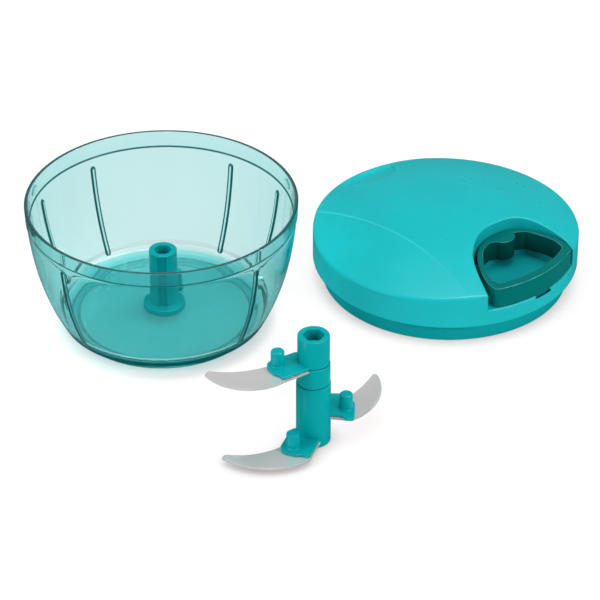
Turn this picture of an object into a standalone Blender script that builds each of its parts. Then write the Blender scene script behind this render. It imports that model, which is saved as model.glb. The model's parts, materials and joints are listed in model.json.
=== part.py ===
# Pull-cord food chopper, taken apart: clear bowl, lid with its pull handle, and the three-blade unit.
# Metres, +Z up. The origin is on the table, in the middle of the set. The lid stands right of the bowl, the
# blade unit in front.

import math

import bmesh
import bpy
from mathutils import Vector

MM = 0.001
FIT = 0.3 * MM              # gap between pieces that touch
OVERLAP = 0.5 * MM          # how far two joined shapes run into each other
PAST = 5.0 * MM             # how far a cutter runs past the wall that it cuts

# Places on the table
BOWL_X = -63.4 * MM
BOWL_Y = 10.9 * MM
LID_FROM_BOWL_X = 126.3 * MM
LID_FROM_BOWL_Y = 36.3 * MM
PULL_HEADING = math.radians(-48.0)
BLADES_FROM_BOWL_X = 66.0 * MM
BLADES_FROM_BOWL_Y = -92.4 * MM

# Bowl
BOWL_RIM_RADIUS = 59.7 * MM
BOWL_HEIGHT = 61.1 * MM
BOWL_WALL = 1.9 * MM
BAND_HEIGHT = 7.2 * MM
BAND_WALL = 1.7 * MM
BAND_STEP = 0.3 * MM
FOOT_RADIUS = 41.4 * MM
FOOT_HEIGHT = 3.8 * MM
FOOT_WALL = 2.6 * MM
BODY_BASE_RADIUS = 45.6 * MM
BODY_FULLNESS = 2.7
BODY_DRAFT = 0.3
FLOOR_TOP = 6.0 * MM
FLOOR_THICKNESS = 2.3 * MM
FLOOR_CORNER = 4.6 * MM
STUB_RADIUS = 2.9 * MM
STUB_HEIGHT = 5.0 * MM
RIB_HEADINGS = (27.0, 59.0, 125.5, 161.5, 225.0, 316.5)
RIB_RADIUS = 1.1 * MM
RIB_FOOT = 3.4 * MM
RIB_TOP_DROP = 12.0 * MM
LUG_HEADINGS = (19.0, 167.0)
LUG_LENGTH = 7.0 * MM
LUG_HEIGHT = 3.6 * MM
LUG_PROUD = 0.6 * MM

# Centre post and the peg behind it
POST_RADIUS = 6.2 * MM
POST_TOP = 35.3 * MM
POST_BORE = 3.7 * MM
POST_BORE_WAIST = 3.25 * MM
FLANGE_RADIUS = 9.3 * MM
FLANGE_THICKNESS = 2.6 * MM
GROOVE_WIDTH = 3.2 * MM
GROOVE_DEPTH = 1.2 * MM
FLOOR_PEG_RADIUS = 1.75 * MM
FLOOR_PEG_HEIGHT = 9.0 * MM
FLOOR_PEG_X = 5.9 * MM
FLOOR_PEG_Y = 14.2 * MM

# Blade unit
HUB_LOWER_RADIUS = 7.3 * MM
HUB_MIDDLE_RADIUS = 7.05 * MM
HUB_UPPER_RADIUS = 6.75 * MM
HUB_LOWER_TOP = 29.4 * MM
HUB_MIDDLE_TOP = 39.2 * MM
HUB_HEIGHT = 52.8 * MM
POST_RUNNING_FIT = 0.25 * MM
POST_SOCKET_DEPTH = 21.2 * MM
SPIGOT_RADIUS = 5.2 * MM
SPIGOT_BORE = 3.9 * MM
SPIGOT_GRIP = 4.0 * MM
SOCKET_RADIUS = 4.4 * MM
SOCKET_WAIST = 3.8 * MM
ARM_THICKNESS = 1.2 * MM
PEG_RADIUS = 2.85 * MM
PEG_HEIGHT = 7.0 * MM
BLADE_THICKNESS = 0.9 * MM
BLADE_EDGE = 0.2 * MM
BLADE_BEVEL = 1.3 * MM
BLADE_TIP_BULGE = 1.1 * MM
PEG_STAKE = 1.6 * MM
HUB_STAKE = 1.1 * MM
STAKE_HEAD_LIP = 0.8 * MM
STAKE_HEAD_THICKNESS = 0.6 * MM

# Each arm: the height of its top, the way it points, the side its straight edge is on, its plate as
# corners (along, across, corner radius), its peg and second stake, and its blade's two arcs, in mm
ARMS = {
    "lower": {
        "top": 4.9, "heading": -109.5, "hand": 1, "peg": (14.4, -3.9), "stake": (10.2, 0.8),
        "plate": ((0, -5.5, 0), (3, -8.8, 3), (19.2, -9.0, 4.4), (19.6, -0.6, 2), (18.4, 1.2, 2),
                  (19.0, 4.8, 1.5), (0, 4.8, 0)),
        "outer": ((-1.9, -20.1), (-20.3, -26.0), (-37.6, -18.9)),
        "inner": ((-36.3, -16.2), (-27.0, -16.3), (-12.0, -9.3)),
    },
    "middle": {
        "top": 14.5, "heading": -6.0, "hand": -1, "peg": (13.4, -3.8), "stake": (10.4, -8.4),
        "plate": ((0, 1.9, 0), (11.8, 1.9, 1), (14.4, 4.9, 1.2), (17.6, 3.6, 1.6), (16.8, -8.3, 4),
                  (9.6, -13.6, 2.5), (5.6, -13.2, 1.5), (1.5, -6.5, 0)),
        "outer": ((16.2, -4.6), (27.3, 9.6), (27.9, 27.6)),
        "inner": ((25.4, 28.3), (22.6, 22.8), (14.5, 11.2)),
    },
    "upper": {
        "top": 40.7, "heading": -146.0, "hand": 1, "peg": (14.6, -4.9), "stake": (10.2, 0.8),
        "plate": ((0, -5.5, 0), (3, -8.6, 3), (19.0, -9.2, 4.4), (19.3, -0.6, 2), (18.0, 1.2, 2),
                  (18.2, 4.5, 1.5), (0, 4.5, 0)),
        "outer": ((-12.0, -14.1), (-28.6, -19.5), (-44.4, -9.8)),
        "inner": ((-43.0, -6.9), (-31.0, -7.2), (-16.0, -1.6)),
    },
}

# Lid cover
DOME_TOP = 34.0 * MM
DOME_EDGE_RADIUS = 57.8 * MM
DOME_EDGE_HEIGHT = 25.4 * MM
SHOULDER_RADIUS = 3.5 * MM
SKIRT_BOTTOM_RADIUS = 59.6 * MM
SKIRT_BOTTOM = 9.5 * MM
COVER_WALL = 2.0 * MM
CREASE_OFFSET = 27.4 * MM
CREASE_RADIUS = 125.0 * MM
PANEL_DROP = 1.3 * MM
PANEL_FADE = 9.0 * MM
SCALLOP_RADIUS = 57.5 * MM   # from the lid's axis to the middle of the finger scallop
SCALLOP_ACROSS = 12.5 * MM
SCALLOP_ALONG = 16.0 * MM
SCALLOP_LIFT = 3.0 * MM      # how far the scallop's middle lies above the dome
SCALLOP_DEPTH = 1.2 * MM
RECESS_FLOOR = 13.7 * MM
RECESS_LIP = 17.0 * MM       # the rest round the recess and the lip that the handle lies on
RECESS_REST = 3.0 * MM       # how wide that rest is
RECESS_WALL = 1.8 * MM
NOTCH_WIDTH = 10.5 * MM
NOTCH_DEPTH = 1.3 * MM
NOTCH_REACH = 4.0 * MM       # how far the notch runs in from the skirt
NOTCH_HEADING = math.radians(2.0)
BOSS_RADIUS = 3.7 * MM
BOSS_CIRCLE = 44.0 * MM
BOSS_HEADINGS = (75.0, 145.0, 215.0, 285.0)
ARBOR_RADIUS = 4.6 * MM
ARBOR_BORE = 3.4 * MM

# Lid base
RING_RADIUS = 55.7 * MM
RING_WALL = 2.0 * MM
BASE_PLATE = 1.6 * MM
WELL_FIT = 0.65 * MM
WELL_CEILING = 15.9 * MM
WELL_WALL = 1.5 * MM

# Drive inside the lid
SHAFT_RADIUS = 3.8 * MM
SHAFT_WAIST = 3.3 * MM
SHAFT_TIP = 5.0 * MM
JOURNAL_RADIUS = 3.95 * MM
RUNNING_FIT = 0.2 * MM
BUSH_WALL = 0.6 * MM
BUSH_FLANGE = 6.4 * MM
BUSH_FLANGE_THICKNESS = 0.7 * MM
WASHER_THICKNESS = 0.4 * MM
DRUM_RADIUS = 7.9 * MM
DRUM_HUB_RADIUS = 6.0 * MM
REEL_FLANGE_RADIUS = 16.6 * MM
REEL_FLANGE_THICKNESS = 1.0 * MM
GROOVE_HEIGHT = 4.2 * MM
CUP_RADIUS = 17.5 * MM
CUP_WALL = 1.2 * MM
CUP_FLOOR = 1.2 * MM
CUP_HEIGHT = 4.2 * MM
SPRING_TURNS = 4.5
SPRING_BAND = 0.5 * MM
SPRING_WIDTH = 3.2 * MM
CORD_RADIUS = 0.9 * MM
CORD_LINE = 10.6 * MM       # distance from the lid's axis to the straight cord
GUIDE_RADIUS = 2.3 * MM
GUIDE_FLANGE = 3.4 * MM
GUIDE_FLANGE_THICKNESS = 1.0 * MM
CORD_FIT = 0.4 * MM
SCREW_RADIUS = 1.4 * MM
SCREW_HEAD_RADIUS = 2.8 * MM
SCREW_HEAD_HEIGHT = 1.4 * MM
SCREW_LENGTH = 10.0 * MM

# Pull handle, in the lid's frame: x is along the pull, y is to its left
HANDLE_TOP = 27.0 * MM
HANDLE_FRONT_RADIUS = 59.5 * MM
HANDLE_CHAMFER = 0.5 * MM
KNOT_RADIUS = 2.2 * MM
POCKET_RADIUS = 2.8 * MM
POCKET_X = 27.0 * MM
BOSS_X = 25.4 * MM
CORD_BOSS_RADIUS = 5.8 * MM
HANDLE_OUTSIDE = ((54.2, 24.9), (49.4, 27.0), (43.1, 27.3), (37.0, 26.0), (30.6, 23.7), (25.6, 19.9),
                  (23.1, 15.0), (22.4, 10.0), (22.8, 3.2), (25.5, -4.1), (30.7, -10.5), (37.5, -16.0),
                  (44.5, -20.0), (50.2, -22.3), (54.0, -22.6))
HANDLE_INSIDE = ((50.2, 24.3), (43.6, 24.9), (36.0, 23.2), (29.6, 20.6))
HANDLE_INSIDE_LEFT = ((26.2, 2.2), (28.4, -4.2), (35.1, -10.9), (42.7, -16.6), (48.6, -18.9))
HANDLE_WALL = 3.3 * MM
RECESS_SIDE = ((54.4, 27.2), (45.2, 29.4), (37.1, 28.6), (28.4, 25.7), (23.2, 20.0), (21.8, 10.0),
               (22.1, 2.6), (24.9, -5.2), (31.7, -14.2), (40.7, -20.4), (54.4, -26.6))

STEPS_LARGE = 72
STEPS_SMALL = 32


def start():
    """Removes what the file holds and makes the collections and the units' frames."""
    for obj in list(bpy.data.objects):
        bpy.data.objects.remove(obj, do_unlink=True)
    for name in ("food_chopper", "cutters"):
        old = bpy.data.collections.get(name)
        if old:
            bpy.data.collections.remove(old)
        bpy.context.scene.collection.children.link(bpy.data.collections.new(name))


def frame(name, x, y, heading):
    """An empty that carries one unit and stands on its axis."""
    empty = bpy.data.objects.new(name, None)
    empty.location = (x, y, 0)
    empty.rotation_euler = (0, 0, heading)
    empty.empty_display_size = 0.02
    bpy.data.collections["food_chopper"].objects.link(empty)
    return empty


def material(name, colour, roughness, metallic=0.0, alpha=1.0):
    """A Principled material in one colour."""
    mat = bpy.data.materials.get(name) or bpy.data.materials.new(name)
    mat.use_nodes = True
    shader = mat.node_tree.nodes["Principled BSDF"]
    shader.inputs["Base Color"].default_value = (*colour, 1)
    shader.inputs["Roughness"].default_value = roughness
    shader.inputs["Metallic"].default_value = metallic
    shader.inputs["Alpha"].default_value = alpha
    return mat


def put(name, mesh, unit, mat=None):
    """Links a mesh as a part, or as a cutter when it has no material."""
    obj = bpy.data.objects.new(name, mesh)
    obj.parent = unit
    if mat:
        mesh.materials.clear()
        mesh.materials.append(mat)
        mesh.shade_smooth()
        mesh.set_sharp_from_angle(angle=math.radians(35))
        bpy.data.collections["food_chopper"].objects.link(obj)
    else:
        obj.hide_render = True
        obj.display_type = "WIRE"
        bpy.data.collections["cutters"].objects.link(obj)
    return obj


def turned(name, profile, unit, mat=None, steps=STEPS_SMALL, closed=True):
    """A profile of (radius, height), outer side first and downwards, turned about the unit's axis."""
    mesh = bpy.data.meshes.new(name)
    count = len(profile)
    edges = [(i, i + 1) for i in range(count - 1)]
    if closed:
        edges.append((count - 1, 0))
    mesh.from_pydata([(r, 0, z) for r, z in profile], edges, [])
    obj = put(name, mesh, unit, mat)
    screw = obj.modifiers.new("turn", "SCREW")
    screw.angle = math.tau
    screw.steps = steps
    screw.render_steps = steps
    screw.use_merge_vertices = True
    screw.merge_threshold = 0.00001
    screw.use_smooth_shade = True
    return obj


def bake(obj):
    """Turns an object's modifiers into its mesh."""
    bpy.context.view_layer.update()
    evaluated = obj.evaluated_get(bpy.context.evaluated_depsgraph_get())
    mesh = bpy.data.meshes.new_from_object(evaluated)
    obj.modifiers.clear()
    obj.data = mesh
    return obj


def prism(name, outline, bottom, top, unit, mat=None, chamfer=0.0):
    """An outline of (x, y) as an upright solid, with its outer edges chamfered when asked."""
    bm = bmesh.new()
    if chamfer:
        inner = grown(outline, -chamfer)
        levels = ((inner, bottom), (outline, bottom + chamfer), (outline, top - chamfer), (inner, top))
    else:
        levels = ((outline, bottom), (outline, top))
    loops = [[bm.verts.new((x, y, z)) for x, y in points] for points, z in levels]
    count = len(outline)
    for low, high in zip(loops, loops[1:]):
        for i in range(count):
            j = (i + 1) % count
            bm.faces.new((low[i], low[j], high[j], high[i]))
    bm.faces.new(list(reversed(loops[0])))
    bm.faces.new(loops[-1])
    bmesh.ops.recalc_face_normals(bm, faces=bm.faces)
    mesh = bpy.data.meshes.new(name)
    bm.to_mesh(mesh)
    bm.free()
    return put(name, mesh, unit, mat)


def cylinder(name, radius, bottom, top, unit, at=(0, 0), mat=None, steps=STEPS_SMALL):
    """An upright cylinder."""
    bm = bmesh.new()
    bmesh.ops.create_cone(bm, cap_ends=True, segments=steps, radius1=radius, radius2=radius,
                          depth=top - bottom)
    bmesh.ops.translate(bm, verts=bm.verts, vec=(at[0], at[1], (top + bottom) / 2))
    mesh = bpy.data.meshes.new(name)
    bm.to_mesh(mesh)
    bm.free()
    return put(name, mesh, unit, mat)


def lying_cylinder(name, radius, start_x, end_x, at, unit, mat=None, steps=16):
    """A cylinder along x, at a (y, z)."""
    bm = bmesh.new()
    bmesh.ops.create_cone(bm, cap_ends=True, segments=steps, radius1=radius, radius2=radius,
                          depth=end_x - start_x)
    for vert in bm.verts:
        vert.co = Vector((vert.co.z + (start_x + end_x) / 2, at[0] + vert.co.y, at[1] - vert.co.x))
    mesh = bpy.data.meshes.new(name)
    bm.to_mesh(mesh)
    bm.free()
    return put(name, mesh, unit, mat)


def ball(name, radii, centre, unit, heading=0.0, mat=None, steps=16):
    """A sphere stretched to three radii and turned about the vertical."""
    bm = bmesh.new()
    bmesh.ops.create_uvsphere(bm, u_segments=steps, v_segments=steps // 2, radius=1)
    for vert in bm.verts:
        x = vert.co.x * radii[0]
        y = vert.co.y * radii[1]
        vert.co = Vector((centre[0] + x * math.cos(heading) - y * math.sin(heading),
                          centre[1] + x * math.sin(heading) + y * math.cos(heading),
                          centre[2] + vert.co.z * radii[2]))
    mesh = bpy.data.meshes.new(name)
    bm.to_mesh(mesh)
    bm.free()
    return put(name, mesh, unit, mat)


def combine(obj, other, operation):
    """Joins, cuts or keeps the common part of two solids."""
    step = obj.modifiers.new(f"{operation.lower()}_{other.name}", "BOOLEAN")
    step.operation = operation
    step.solver = "EXACT"
    step.object = other


def polar(radius, heading):
    """The point at a radius and a heading in radians."""
    return (radius * math.cos(heading), radius * math.sin(heading))


def grown(outline, distance):
    """An outline moved outwards, or inwards for a negative distance. Its points run anticlockwise."""
    count = len(outline)
    out = []
    for i in range(count):
        a, b, c = Vector(outline[i - 1]), Vector(outline[i]), Vector(outline[(i + 1) % count])
        first = (b - a).normalized()
        second = (c - b).normalized()
        normal = Vector((first.y + second.y, -first.x - second.x)).normalized()
        reach = max(0.4, normal.x * first.y - normal.y * first.x)
        out.append(tuple(b + normal * distance / reach))
    return out


def anticlockwise(outline):
    """The outline, turned round if it runs clockwise."""
    count = len(outline)
    area = sum(outline[i - 1][0] * outline[i][1] - outline[i][0] * outline[i - 1][1] for i in range(count))
    return list(outline) if area > 0 else list(reversed(outline))


def rounded(corners, pieces=5):
    """An outline of corners (x, y, radius), with each corner that has a radius as an arc."""
    out = []
    count = len(corners)
    for i, (x, y, radius) in enumerate(corners):
        here = Vector((x, y))
        if radius == 0:
            out.append((x, y))
            continue
        before = (Vector(corners[i - 1][:2]) - here)
        after = (Vector(corners[(i + 1) % count][:2]) - here)
        half = before.angle(after) / 2
        reach = min(radius / math.tan(half), 0.48 * before.length, 0.48 * after.length)
        first = here + before.normalized() * reach
        last = here + after.normalized() * reach
        for k in range(pieces + 1):
            t = k / pieces
            out.append(tuple(first * (1 - t) ** 2 + here * 2 * t * (1 - t) + last * t ** 2))
    return out


def smooth_line(points, pieces=3):
    """A smooth open line through the points."""
    ends = [points[0], *points, points[-1]]
    out = []
    for i in range(1, len(ends) - 2):
        p0, p1, p2, p3 = (Vector(p) for p in ends[i - 1:i + 3])
        for k in range(pieces):
            t = k / pieces
            out.append(tuple(0.5 * (2 * p1 + (p2 - p0) * t + (2 * p0 - 5 * p1 + 4 * p2 - p3) * t ** 2
                                    + (3 * p1 - p0 - 3 * p2 + p3) * t ** 3)))
    out.append(tuple(points[-1]))
    return out


def arc_through(start_point, middle_point, end_point, pieces):
    """Points on the circle arc through three points."""
    a, b, c = Vector(start_point), Vector(middle_point), Vector(end_point)
    d = 2 * (a.x * (b.y - c.y) + b.x * (c.y - a.y) + c.x * (a.y - b.y))
    ux = (a.dot(a) * (b.y - c.y) + b.dot(b) * (c.y - a.y) + c.dot(c) * (a.y - b.y)) / d
    uy = (a.dot(a) * (c.x - b.x) + b.dot(b) * (a.x - c.x) + c.dot(c) * (b.x - a.x)) / d
    centre = Vector((ux, uy))
    radius = (a - centre).length
    first = math.atan2(a.y - uy, a.x - ux)
    turn = math.atan2(c.y - uy, c.x - ux) - first
    middle = (math.atan2(b.y - uy, b.x - ux) - first) % math.tau
    turn = turn % math.tau
    if middle > turn:
        turn -= math.tau
    return [(ux + radius * math.cos(first + turn * k / pieces),
             uy + radius * math.sin(first + turn * k / pieces)) for k in range(pieces + 1)]


def six_lobed(radius, waist, per_lobe=6):
    """The outline of a socket with six round lobes and six cusps between them."""
    count = 6 * per_lobe
    out = []
    for i in range(count):
        heading = math.tau * i / count
        share = abs(math.cos(3 * heading)) ** 0.8
        out.append(polar(waist + (radius - waist) * share, heading))
    return out


def bowl_radius(z):
    """The outer radius of the bowl's body at a height."""
    t = max(0.0, min(1.0, (z - FOOT_HEIGHT) / (BOWL_HEIGHT - FOOT_HEIGHT)))
    share = BODY_DRAFT * t + (1 - BODY_DRAFT) * (1 - (1 - t) ** BODY_FULLNESS)
    return BODY_BASE_RADIUS + (BOWL_RIM_RADIUS - BODY_BASE_RADIUS) * share


def build_bowl(unit, mat):
    """The clear bowl with its ribs and lock lugs."""
    ledge = BOWL_HEIGHT - BAND_HEIGHT
    heights = [ledge - (ledge - FOOT_HEIGHT) * (k / 6) ** 0.8 for k in range(7)]
    outer = [(BOWL_RIM_RADIUS - 0.4 * MM, BOWL_HEIGHT), (BOWL_RIM_RADIUS, BOWL_HEIGHT - 0.4 * MM),
             (bowl_radius(ledge) + BAND_STEP, ledge + 0.3 * MM)]
    outer += [(bowl_radius(z), z) for z in heights]
    outer += [(FOOT_RADIUS, 0.5 * MM), (FOOT_RADIUS - 0.5 * MM, 0)]
    floor_bottom = FLOOR_TOP - FLOOR_THICKNESS
    under = [(FOOT_RADIUS - FOOT_WALL, 0), (FOOT_RADIUS - FOOT_WALL - 0.6 * MM, floor_bottom - 0.6 * MM),
             (FOOT_RADIUS - FOOT_WALL - 1.2 * MM, floor_bottom), (0, floor_bottom)]
    inside = [(0, FLOOR_TOP + STUB_HEIGHT), (STUB_RADIUS, FLOOR_TOP + STUB_HEIGHT), (STUB_RADIUS, FLOOR_TOP)]
    corner_top = FLOOR_TOP + FLOOR_CORNER
    wall_radius = bowl_radius(corner_top) - BOWL_WALL
    corner_width = 1.3 * FLOOR_CORNER
    for k in range(4):
        turn = math.pi / 2 * k / 4
        inside.append((wall_radius - corner_width + corner_width * math.sin(turn),
                       corner_top - FLOOR_CORNER * math.cos(turn)))
    rises = [corner_top + (ledge - corner_top) * (k / 5) ** 1.2 for k in range(6)]
    inside += [(bowl_radius(z) - BOWL_WALL, z) for z in rises]
    inside += [(bowl_radius(ledge) + BAND_STEP - BAND_WALL, ledge + 0.3 * MM),
               (BOWL_RIM_RADIUS - BAND_WALL, BOWL_HEIGHT - 0.4 * MM),
               (BOWL_RIM_RADIUS - BAND_WALL + 0.4 * MM, BOWL_HEIGHT)]
    bowl = turned("bowl", outer + under + inside, unit, mat, steps=STEPS_LARGE, closed=True)
    low = FLOOR_TOP + RIB_FOOT
    high = BOWL_HEIGHT - RIB_TOP_DROP
    for number, degrees in enumerate(RIB_HEADINGS, 1):
        heading = math.radians(degrees)
        points = []
        for k in range(5):
            z = low + (high - low) * k / 4
            points.append((*polar(bowl_radius(z) - BOWL_WALL + 0.35 * MM, heading), z))
        combine(bowl, round_bar(f"rib_{number}", points, RIB_RADIUS, unit), "UNION")
    for number, degrees in enumerate(LUG_HEADINGS, 1):
        heading = math.radians(degrees)
        middle = BOWL_HEIGHT - BAND_HEIGHT / 2
        reach = BOWL_RIM_RADIUS - BAND_WALL + 0.3 * MM
        lug = ball(f"lug_{number}", (LUG_PROUD + 0.5 * MM, LUG_LENGTH / 2, LUG_HEIGHT / 2),
                   (*polar(reach, heading), middle), unit, heading)
        combine(bowl, lug, "UNION")
    return bowl


def round_bar(name, points, radius, unit, mat=None, resolution=2):
    """A round bar along points, made from a curve and turned into a closed mesh."""
    curve = bpy.data.curves.new(name + "_line", "CURVE")
    curve.dimensions = "3D"
    curve.bevel_depth = radius
    curve.bevel_resolution = resolution
    curve.use_fill_caps = True
    spline = curve.splines.new("POLY")
    spline.points.add(len(points) - 1)
    for target, point in zip(spline.points, points):
        target.co = (*point, 1)
    line = bpy.data.objects.new(name + "_line", curve)
    bpy.context.scene.collection.objects.link(line)
    bpy.context.view_layer.update()
    mesh = bpy.data.meshes.new_from_object(line.evaluated_get(bpy.context.evaluated_depsgraph_get()))
    bpy.data.objects.remove(line, do_unlink=True)
    bm = bmesh.new()
    bm.from_mesh(mesh)
    bmesh.ops.remove_doubles(bm, verts=bm.verts, dist=0.000005)
    bmesh.ops.recalc_face_normals(bm, faces=bm.faces)
    bm.to_mesh(mesh)
    bm.free()
    mesh.name = name
    return put(name, mesh, unit, mat)


def build_post(unit, mat):
    """The opaque post with its flange, bore and groove, and the peg behind it."""
    bottom = FLOOR_TOP + FIT
    flange_top = bottom + FLANGE_THICKNESS
    profile = [(0, POST_TOP), (POST_RADIUS - 0.4 * MM, POST_TOP), (POST_RADIUS, POST_TOP - 0.4 * MM),
               (POST_RADIUS, flange_top + 0.6 * MM), (POST_RADIUS + 0.6 * MM, flange_top),
               (FLANGE_RADIUS - 0.6 * MM, flange_top), (FLANGE_RADIUS, flange_top - 0.6 * MM),
               (FLANGE_RADIUS, bottom), (0, bottom)]
    post = turned("centre_post", profile, unit, mat, steps=40, closed=False)
    bore = prism("post_bore", six_lobed(POST_BORE, POST_BORE_WAIST), bottom - PAST, POST_TOP + PAST, unit)
    combine(post, bore, "DIFFERENCE")
    half = GROOVE_WIDTH / 2
    face = POST_RADIUS - GROOVE_DEPTH
    outline = [(-half, -FLANGE_RADIUS - PAST), (half, -FLANGE_RADIUS - PAST), (half, -face), (-half, -face)]
    combine(post, prism("post_groove", outline, bottom - PAST, POST_TOP - 0.8 * MM, unit), "DIFFERENCE")
    top = bottom + FLOOR_PEG_HEIGHT
    peg = [(0, top), (FLOOR_PEG_RADIUS * 0.6, top - 0.15 * MM), (FLOOR_PEG_RADIUS, top - 0.9 * MM),
           (FLOOR_PEG_RADIUS, bottom), (0, bottom)]
    post_peg = turned("post_peg", peg, unit, mat, steps=16, closed=False)
    post_peg.location = (FLOOR_PEG_X, FLOOR_PEG_Y, 0)


def arm_point(arm, along, across):
    """A point of an arm, from its own directions to the blade unit's."""
    heading = math.radians(arm["heading"])
    ahead = Vector((math.cos(heading), math.sin(heading)))
    side = Vector((-ahead.y, ahead.x)) * arm["hand"]
    return tuple((ahead * along + side * across) * MM)


def add_arm(hub, key, unit):
    """Joins an arm's plate, its peg and its two headed stakes to a hub."""
    arm = ARMS[key]
    top = arm["top"] * MM
    bottom = top - ARM_THICKNESS
    corners = [(*arm_point(arm, x, y), r * MM) for x, y, r in arm["plate"]]
    plate = prism(f"{key}_plate", anticlockwise(rounded(corners)), bottom, top, unit)
    combine(hub, plate, "UNION")
    peg_top = top + PEG_HEIGHT
    peg_foot = top - OVERLAP
    peg = [(0, peg_top), (PEG_RADIUS * 0.55, peg_top - 0.1 * MM), (PEG_RADIUS * 0.88, peg_top - 0.6 * MM),
           (PEG_RADIUS, peg_top - 1.5 * MM), (PEG_RADIUS, top + 0.7 * MM), (PEG_RADIUS + 0.45 * MM, top + 0.1 * MM),
           (PEG_RADIUS + 0.45 * MM, peg_foot), (0, peg_foot)]
    piece = turned(f"{key}_peg", peg, unit, steps=20, closed=False)
    piece.location = (*arm_point(arm, *arm["peg"]), 0)
    combine(hub, piece, "UNION")
    head_top = bottom - FIT - BLADE_THICKNESS - FIT
    head_bottom = head_top - STAKE_HEAD_THICKNESS
    for name, place, radius in (("peg", arm["peg"], PEG_STAKE), ("hub", arm["stake"], HUB_STAKE)):
        head = radius + STAKE_HEAD_LIP
        stake = [(0, top - OVERLAP), (radius, top - OVERLAP), (radius, head_top), (head, head_top),
                 (head - 0.3 * MM, head_bottom), (0, head_bottom)]
        piece = turned(f"{key}_{name}_stake", stake, unit, steps=16, closed=False)
        piece.location = (*arm_point(arm, *place), 0)
        combine(hub, piece, "UNION")


def build_blade(key, hub_radius, unit, mat):
    """A curved steel blade, bevelled on its outer edge, with holes for the arm's stakes."""
    arm = ARMS[key]
    outer = [tuple(v * MM for v in p) for p in arc_through(*arm["outer"], 14)]
    inner = [tuple(v * MM for v in p) for p in arc_through(*arm["inner"], 8)]
    tip_out, tip_in = Vector(outer[-1]), Vector(inner[0])
    ahead = (Vector(outer[-1]) - Vector(outer[-2])).normalized()
    apex = (tip_out + tip_in) / 2 + ahead * BLADE_TIP_BULGE
    tip = arc_through(tip_out, apex, tip_in, 4)[1:-1]
    straight = max(across for _, across, _ in arm["plate"][:1] + arm["plate"][-1:]) + 0.4
    back = [arm_point(arm, 3.0, -4.5), arm_point(arm, 0, 0), arm_point(arm, 3.0, straight)]
    ring = outer + tip + inner + back
    shrunk = anticlockwise(ring)
    flipped = shrunk[0] != ring[0]
    inset = grown(shrunk, -BLADE_BEVEL)
    if flipped:
        inset = list(reversed(inset))
    bevelled = len(outer) + len(tip)
    upper = [inset[i] if 0 < i < bevelled else ring[i] for i in range(len(ring))]
    top = arm["top"] * MM - ARM_THICKNESS - FIT
    bottom = top - BLADE_THICKNESS
    bm = bmesh.new()
    levels = ((ring, bottom), (ring, bottom + BLADE_EDGE), (upper, top))
    loops = [[bm.verts.new((x, y, z)) for x, y in points] for points, z in levels]
    for low, high in zip(loops, loops[1:]):
        for i in range(len(ring)):
            j = (i + 1) % len(ring)
            bm.faces.new((low[i], low[j], high[j], high[i]))
    bm.faces.new(list(reversed(loops[0])))
    bm.faces.new(loops[-1])
    bmesh.ops.recalc_face_normals(bm, faces=bm.faces)
    mesh = bpy.data.meshes.new(f"blade_{key}")
    bm.to_mesh(mesh)
    bm.free()
    blade = put(f"blade_{key}", mesh, unit, mat)
    for name, place, radius in (("peg", arm["peg"], PEG_STAKE), ("hub", arm["stake"], HUB_STAKE)):
        hole = cylinder(f"{key}_{name}_hole", radius + FIT, bottom - PAST, top + PAST, unit,
                        arm_point(arm, *place), steps=16)
        combine(blade, hole, "DIFFERENCE")
    around_hub = cylinder(f"{key}_hub_room", hub_radius + FIT, bottom - PAST, top + PAST, unit)
    combine(blade, around_hub, "DIFFERENCE")
    return blade


def build_blade_unit(unit, plastic, steel):
    """The three hub sections with their arms, and the three blades."""
    socket = POST_RADIUS + POST_RUNNING_FIT
    spigot_top = HUB_MIDDLE_TOP + SPIGOT_GRIP
    edge = 0.4 * MM
    lower = [(0, spigot_top), (SPIGOT_RADIUS, spigot_top), (SPIGOT_RADIUS, HUB_LOWER_TOP),
             (HUB_LOWER_RADIUS - edge, HUB_LOWER_TOP), (HUB_LOWER_RADIUS, HUB_LOWER_TOP - edge),
             (HUB_LOWER_RADIUS, edge), (HUB_LOWER_RADIUS - edge, 0), (0, 0)]
    hub_lower = turned("hub_lower", lower, unit, plastic, steps=40, closed=False)
    add_arm(hub_lower, "lower", unit)
    add_arm(hub_lower, "middle", unit)
    room = [(0, spigot_top + PAST), (SPIGOT_BORE, spigot_top + PAST), (SPIGOT_BORE, POST_SOCKET_DEPTH + 1.5 * MM),
            (socket, POST_SOCKET_DEPTH), (socket, -PAST), (0, -PAST)]
    combine(hub_lower, turned("post_room", room, unit, steps=40, closed=False), "DIFFERENCE")
    inner = SPIGOT_RADIUS + FIT
    middle = [(HUB_MIDDLE_RADIUS - edge, HUB_MIDDLE_TOP), (HUB_MIDDLE_RADIUS, HUB_MIDDLE_TOP - edge),
              (HUB_MIDDLE_RADIUS, HUB_LOWER_TOP + FIT), (inner, HUB_LOWER_TOP + FIT), (inner, HUB_MIDDLE_TOP)]
    turned("hub_middle", middle, unit, plastic, steps=40)
    bottom = HUB_MIDDLE_TOP + FIT
    upper = [(0, HUB_HEIGHT), (HUB_UPPER_RADIUS - edge, HUB_HEIGHT), (HUB_UPPER_RADIUS, HUB_HEIGHT - edge),
             (HUB_UPPER_RADIUS, bottom), (0, bottom)]
    hub_upper = turned("hub_upper", upper, unit, plastic, steps=40, closed=False)
    add_arm(hub_upper, "upper", unit)
    seat = cylinder("spigot_room", inner, bottom - PAST, spigot_top + FIT, unit, steps=40)
    combine(hub_upper, seat, "DIFFERENCE")
    lobes = six_lobed(SOCKET_RADIUS, SOCKET_WAIST)
    combine(hub_upper, prism("drive_socket", lobes, bottom, HUB_HEIGHT + PAST, unit), "DIFFERENCE")
    build_blade("lower", HUB_LOWER_RADIUS, unit, steel)
    build_blade("middle", HUB_LOWER_RADIUS, unit, steel)
    build_blade("upper", HUB_MIDDLE_RADIUS, unit, steel)


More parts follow.
